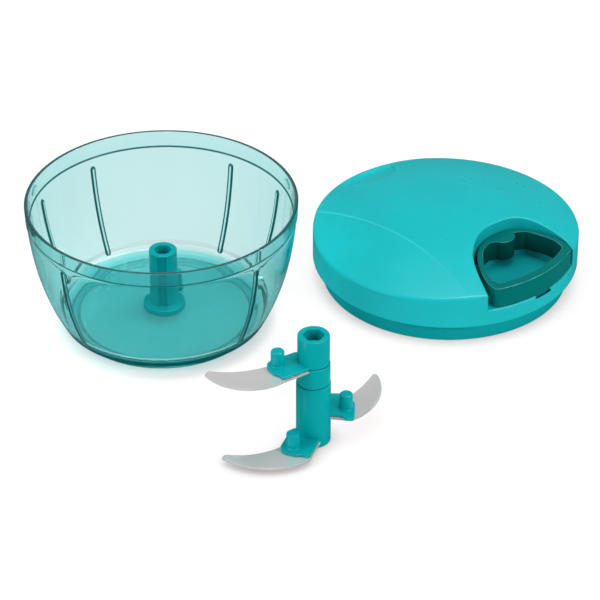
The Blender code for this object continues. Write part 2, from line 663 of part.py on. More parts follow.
def dome_height(radius):
    """The height of the cover's top at a radius, inside its shoulder."""
    return DOME_TOP - (DOME_TOP - DOME_EDGE_HEIGHT) * (radius / DOME_EDGE_RADIUS) ** 2


def cover_profile(inset):
    """The cover's outer line from the middle of the top to the skirt's edge, moved inwards by an inset."""
    slope = math.atan(2 * (DOME_TOP - DOME_EDGE_HEIGHT) / DOME_EDGE_RADIUS)
    centre_r = DOME_EDGE_RADIUS - SHOULDER_RADIUS * math.sin(slope)
    centre_z = DOME_EDGE_HEIGHT - SHOULDER_RADIUS * math.cos(slope)
    line = []
    for k in range(9):
        radius = DOME_EDGE_RADIUS * k / 9
        line.append((radius, dome_height(radius) - inset))
    radius = SHOULDER_RADIUS - inset
    for k in range(4):
        turn = (math.pi / 2 - slope) * (1 - k / 3)
        line.append((centre_r + radius * math.cos(turn), centre_z + radius * math.sin(turn)))
    line.append((SKIRT_BOTTOM_RADIUS - inset, SKIRT_BOTTOM))
    return line


def panel_drop(x, y):
    """How far the two crescent panels lie below the dome at a point of the lid's frame."""
    across = abs(y)
    crease = CREASE_OFFSET + CREASE_RADIUS - math.sqrt(CREASE_RADIUS ** 2 - min(abs(x), CREASE_RADIUS) ** 2)
    past = across - crease
    if past <= 0:
        return 0.0
    return PANEL_DROP * (1 - math.exp(-past / PANEL_FADE))


def lower_panels(obj):
    """Lowers the two crescent panels of a turned shape that follows the dome."""
    bake(obj)
    for vert in obj.data.vertices:
        if vert.co.z > DOME_EDGE_HEIGHT - SHOULDER_RADIUS - COVER_WALL:
            vert.co.z -= panel_drop(vert.co.x, vert.co.y)


def recess_outline():
    """The recess's sides, and two points past the rim where it opens."""
    sides = smooth_line([(x * MM, y * MM) for x, y in RECESS_SIDE], 2)
    first, last = Vector(sides[0]), Vector(sides[-1])
    out = [tuple(last * 1.25), tuple(Vector((80 * MM, 0))), tuple(first * 1.25)]
    return anticlockwise(sides + out)


def build_cover(unit, mat):
    """The domed cover with its recess well, finger scallop, panels, screw bosses and spring arbor."""
    outside = cover_profile(0)
    inside = cover_profile(COVER_WALL)
    cover = turned("lid_cover", outside + list(reversed(inside)), unit, mat, steps=72, closed=False)
    lower_panels(cover)
    recess = recess_outline()
    block = prism("recess_block", grown(recess, RECESS_WALL), RECESS_FLOOR - RECESS_WALL, DOME_TOP + PAST, unit)
    for number, degrees in enumerate(BOSS_HEADINGS, 1):
        at = polar(BOSS_CIRCLE, math.radians(degrees))
        boss = cylinder(f"boss_{number}", BOSS_RADIUS, base_top() + FIT, DOME_TOP + PAST, unit, at, steps=20)
        combine(block, boss, "UNION")
    core = turned("lid_core", [*cover_profile(COVER_WALL / 2), (0, SKIRT_BOTTOM)], unit, steps=72, closed=False)
    lower_panels(core)
    combine(block, core, "INTERSECT")
    combine(cover, block, "UNION")
    arbor = [(ARBOR_RADIUS, DOME_TOP - COVER_WALL / 2), (ARBOR_RADIUS, arbor_foot()), (ARBOR_BORE, arbor_foot()),
             (ARBOR_BORE, DOME_TOP - COVER_WALL / 2)]
    combine(cover, turned("arbor_tube", arbor, unit, steps=24), "UNION")
    combine(cover, prism("recess_room", recess, RECESS_LIP, DOME_TOP + PAST, unit), "DIFFERENCE")
    well = prism("recess_well", grown(recess, -RECESS_REST), RECESS_FLOOR, RECESS_LIP + PAST, unit)
    limit = SKIRT_BOTTOM_RADIUS - COVER_WALL
    combine(well, cylinder("well_limit", limit, RECESS_FLOOR - PAST, DOME_TOP, unit, steps=72), "INTERSECT")
    combine(cover, well, "DIFFERENCE")
    for number, degrees in enumerate(BOSS_HEADINGS, 1):
        at = polar(BOSS_CIRCLE, math.radians(degrees))
        top = base_top() + SCREW_LENGTH
        hole = cylinder(f"pilot_{number}", SCREW_RADIUS + FIT, SKIRT_BOTTOM - PAST, top, unit, at, steps=12)
        combine(cover, hole, "DIFFERENCE")
    half = NOTCH_WIDTH / 2
    rim = SKIRT_BOTTOM_RADIUS + COVER_WALL + PAST
    inner_end = SKIRT_BOTTOM_RADIUS - NOTCH_REACH
    corners = [(inner_end, -half * 0.7), (rim, -half), (rim, half), (inner_end, half * 0.7)]
    turn_x = math.cos(NOTCH_HEADING)
    turn_y = math.sin(NOTCH_HEADING)
    room = [(x * turn_x - y * turn_y, x * turn_y + y * turn_x) for x, y in corners]
    combine(cover, prism("lip_notch", room, RECESS_LIP - NOTCH_DEPTH, RECESS_LIP + PAST, unit), "DIFFERENCE")
    middle = (-SCALLOP_RADIUS, 0, dome_height(SCALLOP_RADIUS * 0.93) + SCALLOP_LIFT)
    radii = (SCALLOP_ACROSS, SCALLOP_ALONG, SCALLOP_LIFT + SCALLOP_DEPTH)
    combine(cover, ball("scallop", radii, middle, unit, steps=32), "DIFFERENCE")
    run = (CORD_LINE, cord_height())
    hole_start = RECESS_SIDE[5][0] * MM - RECESS_WALL - PAST
    hole_end = RECESS_SIDE[5][0] * MM + PAST
    combine(cover, lying_cylinder("guide_hole", GUIDE_RADIUS + FIT, hole_start, hole_end, run, unit), "DIFFERENCE")


def base_top():
    """The top of the base's plate."""
    return SKIRT_BOTTOM + FIT + BASE_PLATE


def well_top():
    """The top of the well that takes the hub."""
    return WELL_CEILING + WELL_WALL


def reel_bottom():
    """The underside of the reel's hub, above the bush and the washer."""
    return well_top() + FIT + BUSH_FLANGE_THICKNESS + FIT + WASHER_THICKNESS + FIT


def drum_bottom():
    """Where the drum starts, above the lower flange."""
    return reel_bottom() + REEL_FLANGE_THICKNESS + FIT


def cup_floor():
    """The underside of the upper flange, which is the spring cup's floor."""
    return drum_bottom() + GROOVE_HEIGHT


def cord_height():
    """The height of the straight cord, in the middle of the drum's groove."""
    return drum_bottom() + GROOVE_HEIGHT / 2


def screw_seat():
    """Where the shaft screw's head sits, on the cup's floor."""
    return cup_floor() + CUP_FLOOR + FIT


def arbor_foot():
    """The lower end of the spring arbor, clear of the screw's head."""
    return screw_seat() + SCREW_HEAD_HEIGHT + FIT


def build_base(unit, mat):
    """The lid's lower ring with its plate and the well that takes the hub."""
    plate_bottom = SKIRT_BOTTOM + FIT
    well = HUB_UPPER_RADIUS + WELL_FIT
    hole = JOURNAL_RADIUS + RUNNING_FIT + BUSH_WALL + FIT
    flange = SKIRT_BOTTOM_RADIUS - COVER_WALL - FIT
    inner = RING_RADIUS - RING_WALL
    profile = [(well + WELL_WALL, well_top()), (well + WELL_WALL, base_top()), (flange, base_top()),
               (flange, plate_bottom), (RING_RADIUS, plate_bottom), (RING_RADIUS, 0.5 * MM),
               (RING_RADIUS - 0.5 * MM, 0), (inner + 0.3 * MM, 0), (inner, 0.3 * MM), (inner, plate_bottom),
               (well, plate_bottom), (well, WELL_CEILING), (hole, WELL_CEILING), (hole, well_top())]
    base = turned("lid_base", profile, unit, mat, steps=STEPS_LARGE)
    for number, degrees in enumerate(BOSS_HEADINGS, 1):
        at = polar(BOSS_CIRCLE, math.radians(degrees))
        hole = cylinder(f"base_hole_{number}", SCREW_RADIUS + FIT, 0, base_top() + PAST, unit, at, steps=12)
        combine(base, hole, "DIFFERENCE")
    return base


def build_lid_screws(unit, mat):
    """The four screws that hold the base to the cover."""
    seat = SKIRT_BOTTOM
    for number, degrees in enumerate(BOSS_HEADINGS, 1):
        profile = [(0, seat + SCREW_LENGTH), (SCREW_RADIUS - 0.4 * MM, seat + SCREW_LENGTH),
                   (SCREW_RADIUS, seat + SCREW_LENGTH - 1.0 * MM), (SCREW_RADIUS, seat), (SCREW_HEAD_RADIUS, seat),
                   (SCREW_HEAD_RADIUS * 0.8, seat - SCREW_HEAD_HEIGHT), (0, seat - SCREW_HEAD_HEIGHT)]
        screw = turned(f"lid_screw_{number}", profile, unit, mat, steps=16, closed=False)
        screw.location = (*polar(BOSS_CIRCLE, math.radians(degrees)), 0)


def build_drive(unit, plastic, steel, brass, cord):
    """Shaft, bush, washer, reel, spring, screw and the cord wound on the drum."""
    bush_bore = JOURNAL_RADIUS + RUNNING_FIT
    bush_top = well_top() + FIT + BUSH_FLANGE_THICKNESS
    bush = [(BUSH_FLANGE, bush_top), (BUSH_FLANGE, well_top() + FIT), (bush_bore + BUSH_WALL, well_top() + FIT),
            (bush_bore + BUSH_WALL, WELL_CEILING), (bush_bore, WELL_CEILING), (bush_bore, bush_top)]
    turned("shaft_bush", bush, unit, brass, steps=24)
    washer_bottom = bush_top + FIT
    washer_top = washer_bottom + WASHER_THICKNESS
    washer = [(BUSH_FLANGE, washer_top), (BUSH_FLANGE, washer_bottom), (bush_bore, washer_bottom),
              (bush_bore, washer_top)]
    turned("shaft_washer", washer, unit, steel, steps=24)

    shaft_top = cup_floor() - FIT
    shaft = prism("drive_shaft", six_lobed(SHAFT_RADIUS, SHAFT_WAIST), SHAFT_TIP, shaft_top, unit, plastic)
    journal = cylinder("journal", JOURNAL_RADIUS, WELL_CEILING, reel_bottom() - FIT, unit, steps=24)
    combine(shaft, journal, "UNION")
    tap = cylinder("shaft_tap", SCREW_RADIUS + FIT, shaft_top - SCREW_LENGTH, shaft_top + PAST, unit, steps=12)
    combine(shaft, tap, "DIFFERENCE")

    floor_top = cup_floor() + CUP_FLOOR
    cup_top = floor_top + CUP_HEIGHT
    reel_line = [(CUP_RADIUS, cup_top), (CUP_RADIUS, cup_floor()), (DRUM_RADIUS, cup_floor()),
                 (DRUM_RADIUS, drum_bottom()), (DRUM_HUB_RADIUS, drum_bottom()), (DRUM_HUB_RADIUS, reel_bottom()),
                 (0, reel_bottom()), (0, floor_top), (CUP_RADIUS - CUP_WALL, floor_top),
                 (CUP_RADIUS - CUP_WALL, cup_top)]
    reel = turned("reel", reel_line, unit, plastic, steps=40)
    lobes = six_lobed(SHAFT_RADIUS + FIT, SHAFT_WAIST + FIT)
    combine(reel, prism("reel_bore", lobes, reel_bottom() - PAST, cup_floor(), unit), "DIFFERENCE")
    through = cylinder("reel_hole", SCREW_RADIUS + FIT, cup_floor() - 1 * MM, floor_top + PAST, unit, steps=12)
    combine(reel, through, "DIFFERENCE")

    disc_bottom = reel_bottom()
    disc_top = disc_bottom + REEL_FLANGE_THICKNESS
    disc = [(REEL_FLANGE_RADIUS, disc_top), (REEL_FLANGE_RADIUS, disc_bottom),
            (DRUM_HUB_RADIUS + FIT, disc_bottom), (DRUM_HUB_RADIUS + FIT, disc_top)]
    turned("reel_flange", disc, unit, plastic, steps=40)

    wound = [(CORD_LINE + CORD_RADIUS, cup_floor() - FIT), (CORD_LINE + CORD_RADIUS, drum_bottom()),
             (DRUM_RADIUS + FIT, drum_bottom()), (DRUM_RADIUS + FIT, cup_floor() - FIT)]
    turned("wound_cord", wound, unit, cord, steps=32)

    screw = [(0, screw_seat() + SCREW_HEAD_HEIGHT), (SCREW_HEAD_RADIUS * 0.8, screw_seat() + SCREW_HEAD_HEIGHT),
             (SCREW_HEAD_RADIUS, screw_seat()), (SCREW_RADIUS, screw_seat()),
             (SCREW_RADIUS, shaft_top - SCREW_LENGTH + 2 * MM), (0, shaft_top - SCREW_LENGTH + 1 * MM)]
    turned("shaft_screw", screw, unit, steel, steps=16, closed=False)
    build_mainspring(unit, steel, floor_top + FIT)


def build_mainspring(unit, mat, bottom):
    """The spiral return spring, one flat band wound round the arbor."""
    first = ARBOR_RADIUS + 2 * FIT
    last = CUP_RADIUS - CUP_WALL - 2 * FIT - SPRING_BAND
    count = int(SPRING_TURNS * 18)
    inner = []
    outer = []
    for k in range(count + 1):
        heading = math.tau * SPRING_TURNS * k / count
        radius = first + (last - first) * k / count
        inner.append(polar(radius, heading))
        outer.append(polar(radius + SPRING_BAND, heading))
    band = anticlockwise(inner + list(reversed(outer)))
    prism("mainspring", band, bottom, bottom + SPRING_WIDTH, unit, mat)
    pitch = (last - first) / SPRING_TURNS
    print(f"mainspring: least gap between turns {(pitch - SPRING_BAND) / MM:.2f} mm")


def handle_outlines():
    """The pull handle's outside and the line of its finger loop."""
    reach = HANDLE_FRONT_RADIUS + FIT
    side = smooth_line([(x * MM, y * MM) for x, y in HANDLE_OUTSIDE], 3)
    side = [point for point in side if math.hypot(*point) < reach]
    first = math.atan2(side[-1][1], side[-1][0])
    last = math.atan2(side[0][1], side[0][0])
    front = [polar(HANDLE_FRONT_RADIUS, first + (last - first) * (0.03 + 0.94 * k / 10)) for k in range(11)]
    right = smooth_line([(x * MM, y * MM) for x, y in HANDLE_INSIDE], 2)
    left = smooth_line([(x * MM, y * MM) for x, y in HANDLE_INSIDE_LEFT], 2)
    boss = []
    for k in range(9):
        turn = math.radians(75 - 145 * k / 8)
        boss.append((BOSS_X + CORD_BOSS_RADIUS * math.cos(turn), CORD_LINE + CORD_BOSS_RADIUS * math.sin(turn)))
    radius = HANDLE_FRONT_RADIUS - HANDLE_WALL
    right = [point for point in right if math.hypot(*point) < radius]
    left = [point for point in left if math.hypot(*point) < radius]
    first = math.atan2(left[-1][1], left[-1][0]) + math.radians(2)
    last = math.atan2(right[0][1], right[0][0]) - math.radians(2)
    inner_front = [polar(radius, first + (last - first) * k / 10) for k in range(11)]
    return anticlockwise(side + front), anticlockwise(right + boss + left + inner_front)


def build_handle(unit, mat, cord):
    """The loop handle, the straight run of cord to it and the knot in its boss."""
    outside, loop = handle_outlines()
    bottom = RECESS_LIP + FIT
    handle = prism("pull_handle", outside, bottom, HANDLE_TOP, unit, mat, chamfer=HANDLE_CHAMFER)
    combine(handle, prism("finger_loop", loop, bottom - PAST, HANDLE_TOP + PAST, unit), "DIFFERENCE")
    at = (POCKET_X, CORD_LINE)
    pocket_top = cord_height() + POCKET_RADIUS
    pocket = cylinder("knot_pocket", POCKET_RADIUS, bottom - PAST, pocket_top, unit, at, steps=16)
    combine(handle, pocket, "DIFFERENCE")
    run = (CORD_LINE, cord_height())
    hole_start = BOSS_X - CORD_BOSS_RADIUS - PAST
    hole = lying_cylinder("cord_hole", CORD_RADIUS + CORD_FIT, hole_start, POCKET_X, run, unit, steps=12)
    combine(handle, hole, "DIFFERENCE")
    clear = CORD_LINE + CORD_RADIUS + FIT
    start_x = math.sqrt(clear ** 2 - (CORD_LINE - CORD_RADIUS) ** 2) + FIT
    knot_x = POCKET_X - POCKET_RADIUS + KNOT_RADIUS + FIT
    end_x = knot_x - KNOT_RADIUS - FIT
    count = 10
    points = [(start_x + (end_x - start_x) * k / count, *run) for k in range(count + 1)]
    round_bar("pull_cord", points, CORD_RADIUS, unit, cord)
    ball("cord_knot", (KNOT_RADIUS, KNOT_RADIUS, KNOT_RADIUS * 0.9), (knot_x, *run), unit, mat=cord, steps=12)


def build_guide(unit, mat):
    """The small bush where the cord passes the recess's wall."""
    wall_face = RECESS_SIDE[5][0] * MM - RECESS_WALL
    flange_start = wall_face - FIT - GUIDE_FLANGE_THICKNESS
    run = (CORD_LINE, cord_height())
    guide = lying_cylinder("cord_guide", GUIDE_FLANGE, flange_start, flange_start + GUIDE_FLANGE_THICKNESS, run,
                           unit, mat, steps=20)
    barrel_end = wall_face + RECESS_WALL - FIT
    barrel = lying_cylinder("guide_barrel", GUIDE_RADIUS, flange_start + FIT, barrel_end, run, unit, steps=20)
    combine(guide, barrel, "UNION")
    bore = lying_cylinder("guide_bore", CORD_RADIUS + CORD_FIT, flange_start - PAST, barrel_end + PAST, run, unit)
    combine(guide, bore, "DIFFERENCE")


def build():
    """The whole chopper."""
    start()
    clear_teal = material("clear_teal", (0.20, 0.72, 0.70), 0.06, alpha=0.45)
    teal = material("teal_plastic", (0.0, 0.40, 0.41), 0.35)
    lid_teal = material("lid_teal", (0.02, 0.52, 0.55), 0.38)
    base_teal = material("base_teal", (0.0, 0.33, 0.34), 0.42)
    handle_green = material("handle_green", (0.0, 0.13, 0.115), 0.30)
    blade_steel = material("blade_steel", (0.62, 0.62, 0.61), 0.22, metallic=1.0)
    screw_steel = material("screw_steel", (0.50, 0.50, 0.50), 0.35, metallic=1.0)
    bush_brass = material("bush_brass", (0.72, 0.52, 0.20), 0.30, metallic=1.0)
    white_nylon = material("white_nylon", (0.80, 0.80, 0.78), 0.55)
    cord_nylon = material("cord_nylon", (0.82, 0.82, 0.80), 0.70)

    bowl_frame = frame("bowl_axis", BOWL_X, BOWL_Y, 0)
    lid_frame = frame("lid_axis", BOWL_X + LID_FROM_BOWL_X, BOWL_Y + LID_FROM_BOWL_Y, PULL_HEADING)
    blades_frame = frame("blades_axis", BOWL_X + BLADES_FROM_BOWL_X, BOWL_Y + BLADES_FROM_BOWL_Y, 0)
    build_bowl(bowl_frame, clear_teal)
    build_post(bowl_frame, teal)
    build_blade_unit(blades_frame, teal, blade_steel)
    build_cover(lid_frame, lid_teal)
    build_base(lid_frame, base_teal)
    build_lid_screws(lid_frame, screw_steel)
    build_drive(lid_frame, white_nylon, screw_steel, bush_brass, cord_nylon)
    build_handle(lid_frame, handle_green, cord_nylon)
    build_guide(lid_frame, white_nylon)


build()
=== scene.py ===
# Looks of the pull-cord food chopper: clear bowl, lid with its pull handle, three-blade unit.
# Sizes in the dictionaries are millimetres and degrees, unless a note says otherwise.
import json
import math

import bmesh
import bpy
from mathutils import Matrix, Quaternion, Vector
from mathutils.geometry import delaunay_2d_cdt


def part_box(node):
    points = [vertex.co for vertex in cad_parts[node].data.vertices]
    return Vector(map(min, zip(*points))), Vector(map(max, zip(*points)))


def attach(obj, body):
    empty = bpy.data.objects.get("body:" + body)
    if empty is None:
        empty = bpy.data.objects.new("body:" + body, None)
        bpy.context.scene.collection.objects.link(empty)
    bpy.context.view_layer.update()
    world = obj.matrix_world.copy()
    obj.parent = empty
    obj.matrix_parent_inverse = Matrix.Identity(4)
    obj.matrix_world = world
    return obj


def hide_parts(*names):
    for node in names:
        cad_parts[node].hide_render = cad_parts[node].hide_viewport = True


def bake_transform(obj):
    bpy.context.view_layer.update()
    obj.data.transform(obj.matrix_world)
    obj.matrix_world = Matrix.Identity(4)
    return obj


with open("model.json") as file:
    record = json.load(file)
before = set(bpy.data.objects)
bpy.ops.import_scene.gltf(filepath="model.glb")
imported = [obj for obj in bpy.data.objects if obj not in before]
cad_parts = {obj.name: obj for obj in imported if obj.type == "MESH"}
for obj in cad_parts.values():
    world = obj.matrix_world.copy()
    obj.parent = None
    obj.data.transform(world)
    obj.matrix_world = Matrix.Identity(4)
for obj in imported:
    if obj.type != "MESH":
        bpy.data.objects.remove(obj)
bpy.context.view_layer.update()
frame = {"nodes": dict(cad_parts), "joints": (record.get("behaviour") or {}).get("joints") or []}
joints = {joint["name"]: joint for joint in frame["joints"]}
print("frame loaded,", len(frame["nodes"]), "CAD nodes")


# where each unit stands: millimetres in its own frame to metres on the table
def placeAt(point, heading=0.0):
    turned = Matrix.Translation((point[0], point[1], 0)) @ Matrix.Rotation(heading, 4, "Z")
    return turned @ Matrix.Scale(0.001, 4)


bowlLow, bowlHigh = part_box("bowl")
bowlPlace = placeAt((bowlLow + bowlHigh) / 2)
pullAxis = joints["handle_pull"]["axis"]
lidPlace = placeAt(joints["reel_spin"]["pos_m"], math.atan2(pullAxis[1], pullAxis[0]))
bladePlace = placeAt(joints["blade_spin"]["pos_m"])

# camera, floor and studio light
studio = {
    "cameraAt": (-0.0030, -1.1015, 0.7473),   # metres
    "cameraTilt": 56.41,
    "lens": 180.0,
    "floorColour": (0.86, 0.86, 0.86),    # what lights the object from below
    "floorReflected": (0.10, 0.10, 0.10),
    "floorSeen": (0.20, 0.24, 0.24),      # what the camera sees, with the lift added to make it white
    "floorLift": (0.86, 0.80, 0.80),
    "paintedShadowReach": 0.0075,       # painted contact shadow: metres over which a piece near the floor darkens the lift
    "paintedShadowLevel": 0.35,
    "worldLight": 0.45,          # on the object; the camera sees 1
    "worldReflected": 0.34,
    "edgePower": 16.0,
}


def noiseNode(nodes, links, coords, scale, detail, stretch=None):
    noise = nodes.new("ShaderNodeTexNoise")
    noise.inputs["Scale"].default_value = scale
    noise.inputs["Detail"].default_value = detail
    if stretch:
        mapping = nodes.new("ShaderNodeMapping")
        mapping.inputs["Scale"].default_value = stretch
        links.new(coords, mapping.inputs["Vector"])
        coords = mapping.outputs["Vector"]
    links.new(coords, noise.inputs["Vector"])
    return noise.outputs["Fac"]


def spreadNode(nodes, links, value, low, high, least=0.3, most=0.7):
    spread = nodes.new("ShaderNodeMapRange")
    spread.inputs["From Min"].default_value = least
    spread.inputs["From Max"].default_value = most
    spread.inputs["To Min"].default_value = low
    spread.inputs["To Max"].default_value = high
    links.new(value, spread.inputs["Value"])
    return spread.outputs["Result"]


def bumpNode(nodes, links, height, strength, distance, below=None):
    bump = nodes.new("ShaderNodeBump")
    bump.inputs["Strength"].default_value = strength
    bump.inputs["Distance"].default_value = distance
    links.new(height, bump.inputs["Height"])
    if below:
        links.new(below, bump.inputs["Normal"])
    return bump.outputs["Normal"]


def blendColours(nodes, links, share, first, second):
    # each colour is either three numbers or a socket
    mix = nodes.new("ShaderNodeMix")
    mix.data_type = "RGBA"
    for socket, colour in ((mix.inputs[6], first), (mix.inputs[7], second)):
        if isinstance(colour, bpy.types.NodeSocket):
            links.new(colour, socket)
        else:
            socket.default_value = (*colour, 1)
    links.new(share, mix.inputs[0])
    return mix.outputs[2]


def seenDirectly(nodes, links):
    # two sockets: 1 for the camera and through clear pieces, as long as the ray has not bounced off
    # something matt, and 1 for reflections
    path = nodes.new("ShaderNodeLightPath")
    direct = nodes.new("ShaderNodeMath")
    direct.operation = "MAXIMUM"
    links.new(path.outputs["Is Camera Ray"], direct.inputs[0])
    links.new(path.outputs["Is Transmission Ray"], direct.inputs[1])
    matt = nodes.new("ShaderNodeMath")
    matt.operation = "LESS_THAN"
    matt.inputs[1].default_value = 0.5
    links.new(path.outputs["Diffuse Depth"], matt.inputs[0])
    gate = nodes.new("ShaderNodeMath")
    gate.operation = "MULTIPLY"
    links.new(direct.outputs[0], gate.inputs[0])
    links.new(matt.outputs[0], gate.inputs[1])
    return gate.outputs[0], path.outputs["Is Glossy Ray"]


def buildStudio():
    data = bpy.data.cameras.new("camera")
    data.lens = studio["lens"]
    data.sensor_width = 36.0
    data.clip_end = 20.0
    camera = bpy.data.objects.new("camera", data)
    camera.location = studio["cameraAt"]
    camera.rotation_euler = (math.radians(studio["cameraTilt"]), 0, 0)
    bpy.context.scene.collection.objects.link(camera)
    bpy.context.scene.camera = camera

    # a round floor sheet with a slightly denser middle
    rings = [0.0, 0.1, 0.2, 0.35, 0.6, 1.0, 1.8, 3.0]
    around = 48
    drop = -0.00005
    points = [(r * math.cos(a), r * math.sin(a), drop)
              for r in rings for a in (math.tau * k / around for k in range(around))]
    faces = []
    for low in range(0, around * (len(rings) - 1), around):
        high = low + around
        for k in range(around):
            j = (k + 1) % around
            faces.append((low + k, low + j, high + j, high + k))
    mesh = bpy.data.meshes.new("floor")
    mesh.from_pydata(points, [], faces)
    floor = bpy.data.objects.new("floor", mesh)
    bpy.context.scene.collection.objects.link(floor)
    mat = bpy.data.materials.new("floorPaper")
    mat.use_nodes = True
    nodes, links = mat.node_tree.nodes, mat.node_tree.links
    nodes.clear()
    out = nodes.new("ShaderNodeOutputMaterial")
    paper = nodes.new("ShaderNodeBsdfDiffuse")
    direct, reflected = seenDirectly(nodes, links)
    links.new(blendColours(nodes, links, reflected, studio["floorColour"], studio["floorReflected"]),
              paper.inputs["Color"])
    seenPaper = nodes.new("ShaderNodeBsdfDiffuse")
    seenPaper.inputs["Color"].default_value = (*studio["floorSeen"], 1)
    glow = nodes.new("ShaderNodeEmission")
    glow.inputs["Color"].default_value = (*studio["floorLift"], 1)
    # painted contact shadow: near a piece, the lift that keeps the floor white is dimmed
    near = nodes.new("ShaderNodeAmbientOcclusion")
    near.inputs["Distance"].default_value = studio["paintedShadowReach"]
    links.new(spreadNode(nodes, links, near.outputs["AO"], studio["paintedShadowLevel"], 1.0, 0.0, 1.0),
              glow.inputs["Strength"])
    both = nodes.new("ShaderNodeAddShader")
    links.new(seenPaper.outputs[0], both.inputs[0])
    links.new(glow.outputs[0], both.inputs[1])
    mix = nodes.new("ShaderNodeMixShader")
    links.new(direct, mix.inputs[0])
    links.new(paper.outputs[0], mix.inputs[1])
    links.new(both.outputs[0], mix.inputs[2])
    links.new(mix.outputs[0], out.inputs["Surface"])
    mesh.materials.append(mat)

    # the room: plain soft light, white to the camera and darker in reflections
    world = bpy.data.worlds.new("studioRoom")
    bpy.context.scene.world = world
    world.use_nodes = True
    nodes, links = world.node_tree.nodes, world.node_tree.links
    nodes.clear()
    out = nodes.new("ShaderNodeOutputWorld")
    back = nodes.new("ShaderNodeBackground")
    direct, reflected = seenDirectly(nodes, links)
    level = spreadNode(nodes, links, direct, studio["worldLight"], 1.0, 0.0, 1.0)
    choice = nodes.new("ShaderNodeMix")
    choice.inputs[3].default_value = studio["worldReflected"]
    links.new(reflected, choice.inputs[0])
    links.new(level, choice.inputs[2])
    links.new(choice.outputs[0], back.inputs["Strength"])
    links.new(back.outputs[0], out.inputs["Surface"])

    lamps = (
        # name, place, size across and along, turned about its own axis, power in watts
        ("overheadSoftbox", (0.05, 0.10, 1.20), 0.9, 0.9, 0, 5.9),
        ("rightSoftbox", (0.95, -0.75, 0.65), 0.5, 0.5, 0, 6.7),
        ("leftSoftbox", (-1.05, -0.50, 0.65), 0.5, 0.5, 0, 5.5),
        # only reflections see this strip: it draws the thin highlights along rounded edges
        ("edgeStrip", (0.37, 0.01, 0.92), 0.20, 0.9, 20, studio["edgePower"]),
    )
    for name, at, across, along, roll, power in lamps:
        lamp = bpy.data.lights.new(name, "AREA")
        lamp.shape = "RECTANGLE"
        lamp.size, lamp.size_y = across, along
        lamp.energy = power
        holder = bpy.data.objects.new(name, lamp)
        holder.location = at
        turned = (-Vector(at)).to_track_quat("-Z", "Y") @ Quaternion((0, 0, 1), math.radians(roll))
        holder.rotation_euler = turned.to_euler()
        bpy.context.scene.collection.objects.link(holder)
        if name == "edgeStrip":
            holder.visible_diffuse = False
            holder.visible_transmission = False
            holder.visible_volume_scatter = False
    bpy.context.scene.view_settings.view_transform = "Standard"


buildStudio()
print("camera, floor and lamps placed")

# finishes
plasticLooks = {
    # painted shade and highlight: how much the colour darkens in hollows, and the lighter colour of rounded
    # edges
    "tealPlastic": {
        "colour": (0.0, 0.400, 0.425), "roughness": 0.19, "shine": 0.10, "grain": 0.02, "mottle": 0.03,
        "hollowShade": 0.2, "glint": (0.20, 0.62, 0.62),
    },
    "lidPlastic": {
        "colour": (0.006, 0.528, 0.565), "roughness": 0.31, "shine": 0.16, "grain": 0.012, "mottle": 0.03,
        "hollowShade": 0.22, "glint": (0.10, 0.72, 0.74),
    },
    "basePlastic": {
        "colour": (0.0, 0.385, 0.405), "roughness": 0.34, "shine": 0.08, "grain": 0.02, "mottle": 0.03,
        "hollowShade": 0.2, "glint": (0.10, 0.62, 0.62),
    },
    "handlePlastic": {
        "colour": (0.0, 0.172, 0.160), "roughness": 0.13, "shine": 0.06, "grain": 0.01, "mottle": 0.04,
        "hollowShade": 0.72, "glint": (0.16, 0.50, 0.46),
    },
    "whiteNylon": {
        "colour": (0.78, 0.78, 0.75), "roughness": 0.45, "shine": 0.40, "grain": 0.10, "mottle": 0.05,
        "hollowShade": 0.3, "glint": (0.9, 0.9, 0.88),
    },
}
# what all moulded pieces share: noise scales per metre, bump depths in metres
plasticGrain = {
    "cloudScale": 45, "rubScale": 260, "grainScale": 2600, "flowScale": 70,
    "rubSmoother": 0.04, "rubRougher": 0.05, "flowBump": 0.05, "flowDepth": 0.0006, "grainDepth": 0.00012,
    "ior": 1.49,
}


def markPoints(piece, name, shareAt, place):
    # a value from 0 to 1 on each point of a piece, read by its material
    back = place.inverted()
    marks = piece.data.attributes.new(name, "FLOAT", "POINT")
    marks.data.foreach_set("value", [shareAt(*(back @ vert.co)) for vert in piece.data.vertices])


def mathNode(nodes, links, operation, first, second):
    # each value is a number or a socket
    node = nodes.new("ShaderNodeMath")
    node.operation = operation
    for socket, value in zip(node.inputs, (first, second)):
        if isinstance(value, bpy.types.NodeSocket):
            links.new(value, socket)
        else:
            socket.default_value = value
    return node.outputs[0]


def arcLine(nodes, links, coords, centre, radius, half, axis, ends):
    # a thin painted highlight line along a circle seen from above; its strength goes from the first to the
    # second end along the axis, and it is drawn only above the height that comes third
    core, rise = 0.3, 0.0008   # full strength within this share of the half width; metres to fade in
    split = nodes.new("ShaderNodeSeparateXYZ")
    links.new(coords, split.inputs[0])
    x, y, z = split.outputs
    right = mathNode(nodes, links, "SUBTRACT", x, centre[0])
    up = mathNode(nodes, links, "SUBTRACT", y, centre[1])
    squares = mathNode(nodes, links, "ADD", mathNode(nodes, links, "MULTIPLY", right, right),
                       mathNode(nodes, links, "MULTIPLY", up, up))
    off = mathNode(nodes, links, "ABSOLUTE", mathNode(nodes, links, "SUBTRACT", mathNode(
        nodes, links, "SQRT", squares, 0), radius), 0)
    line = spreadNode(nodes, links, off, 1.0, 0.0, half * core, half)
    along = mathNode(nodes, links, "ADD", mathNode(nodes, links, "MULTIPLY", x, axis[0]),
                     mathNode(nodes, links, "MULTIPLY", y, axis[1]))
    strength = spreadNode(nodes, links, along, ends[0][1], ends[1][1], ends[0][0], ends[1][0])
    above = spreadNode(nodes, links, z, 0.0, 1.0, ends[2], ends[2] + rise)
    return mathNode(nodes, links, "MULTIPLY", mathNode(nodes, links, "MULTIPLY", line, strength), above)


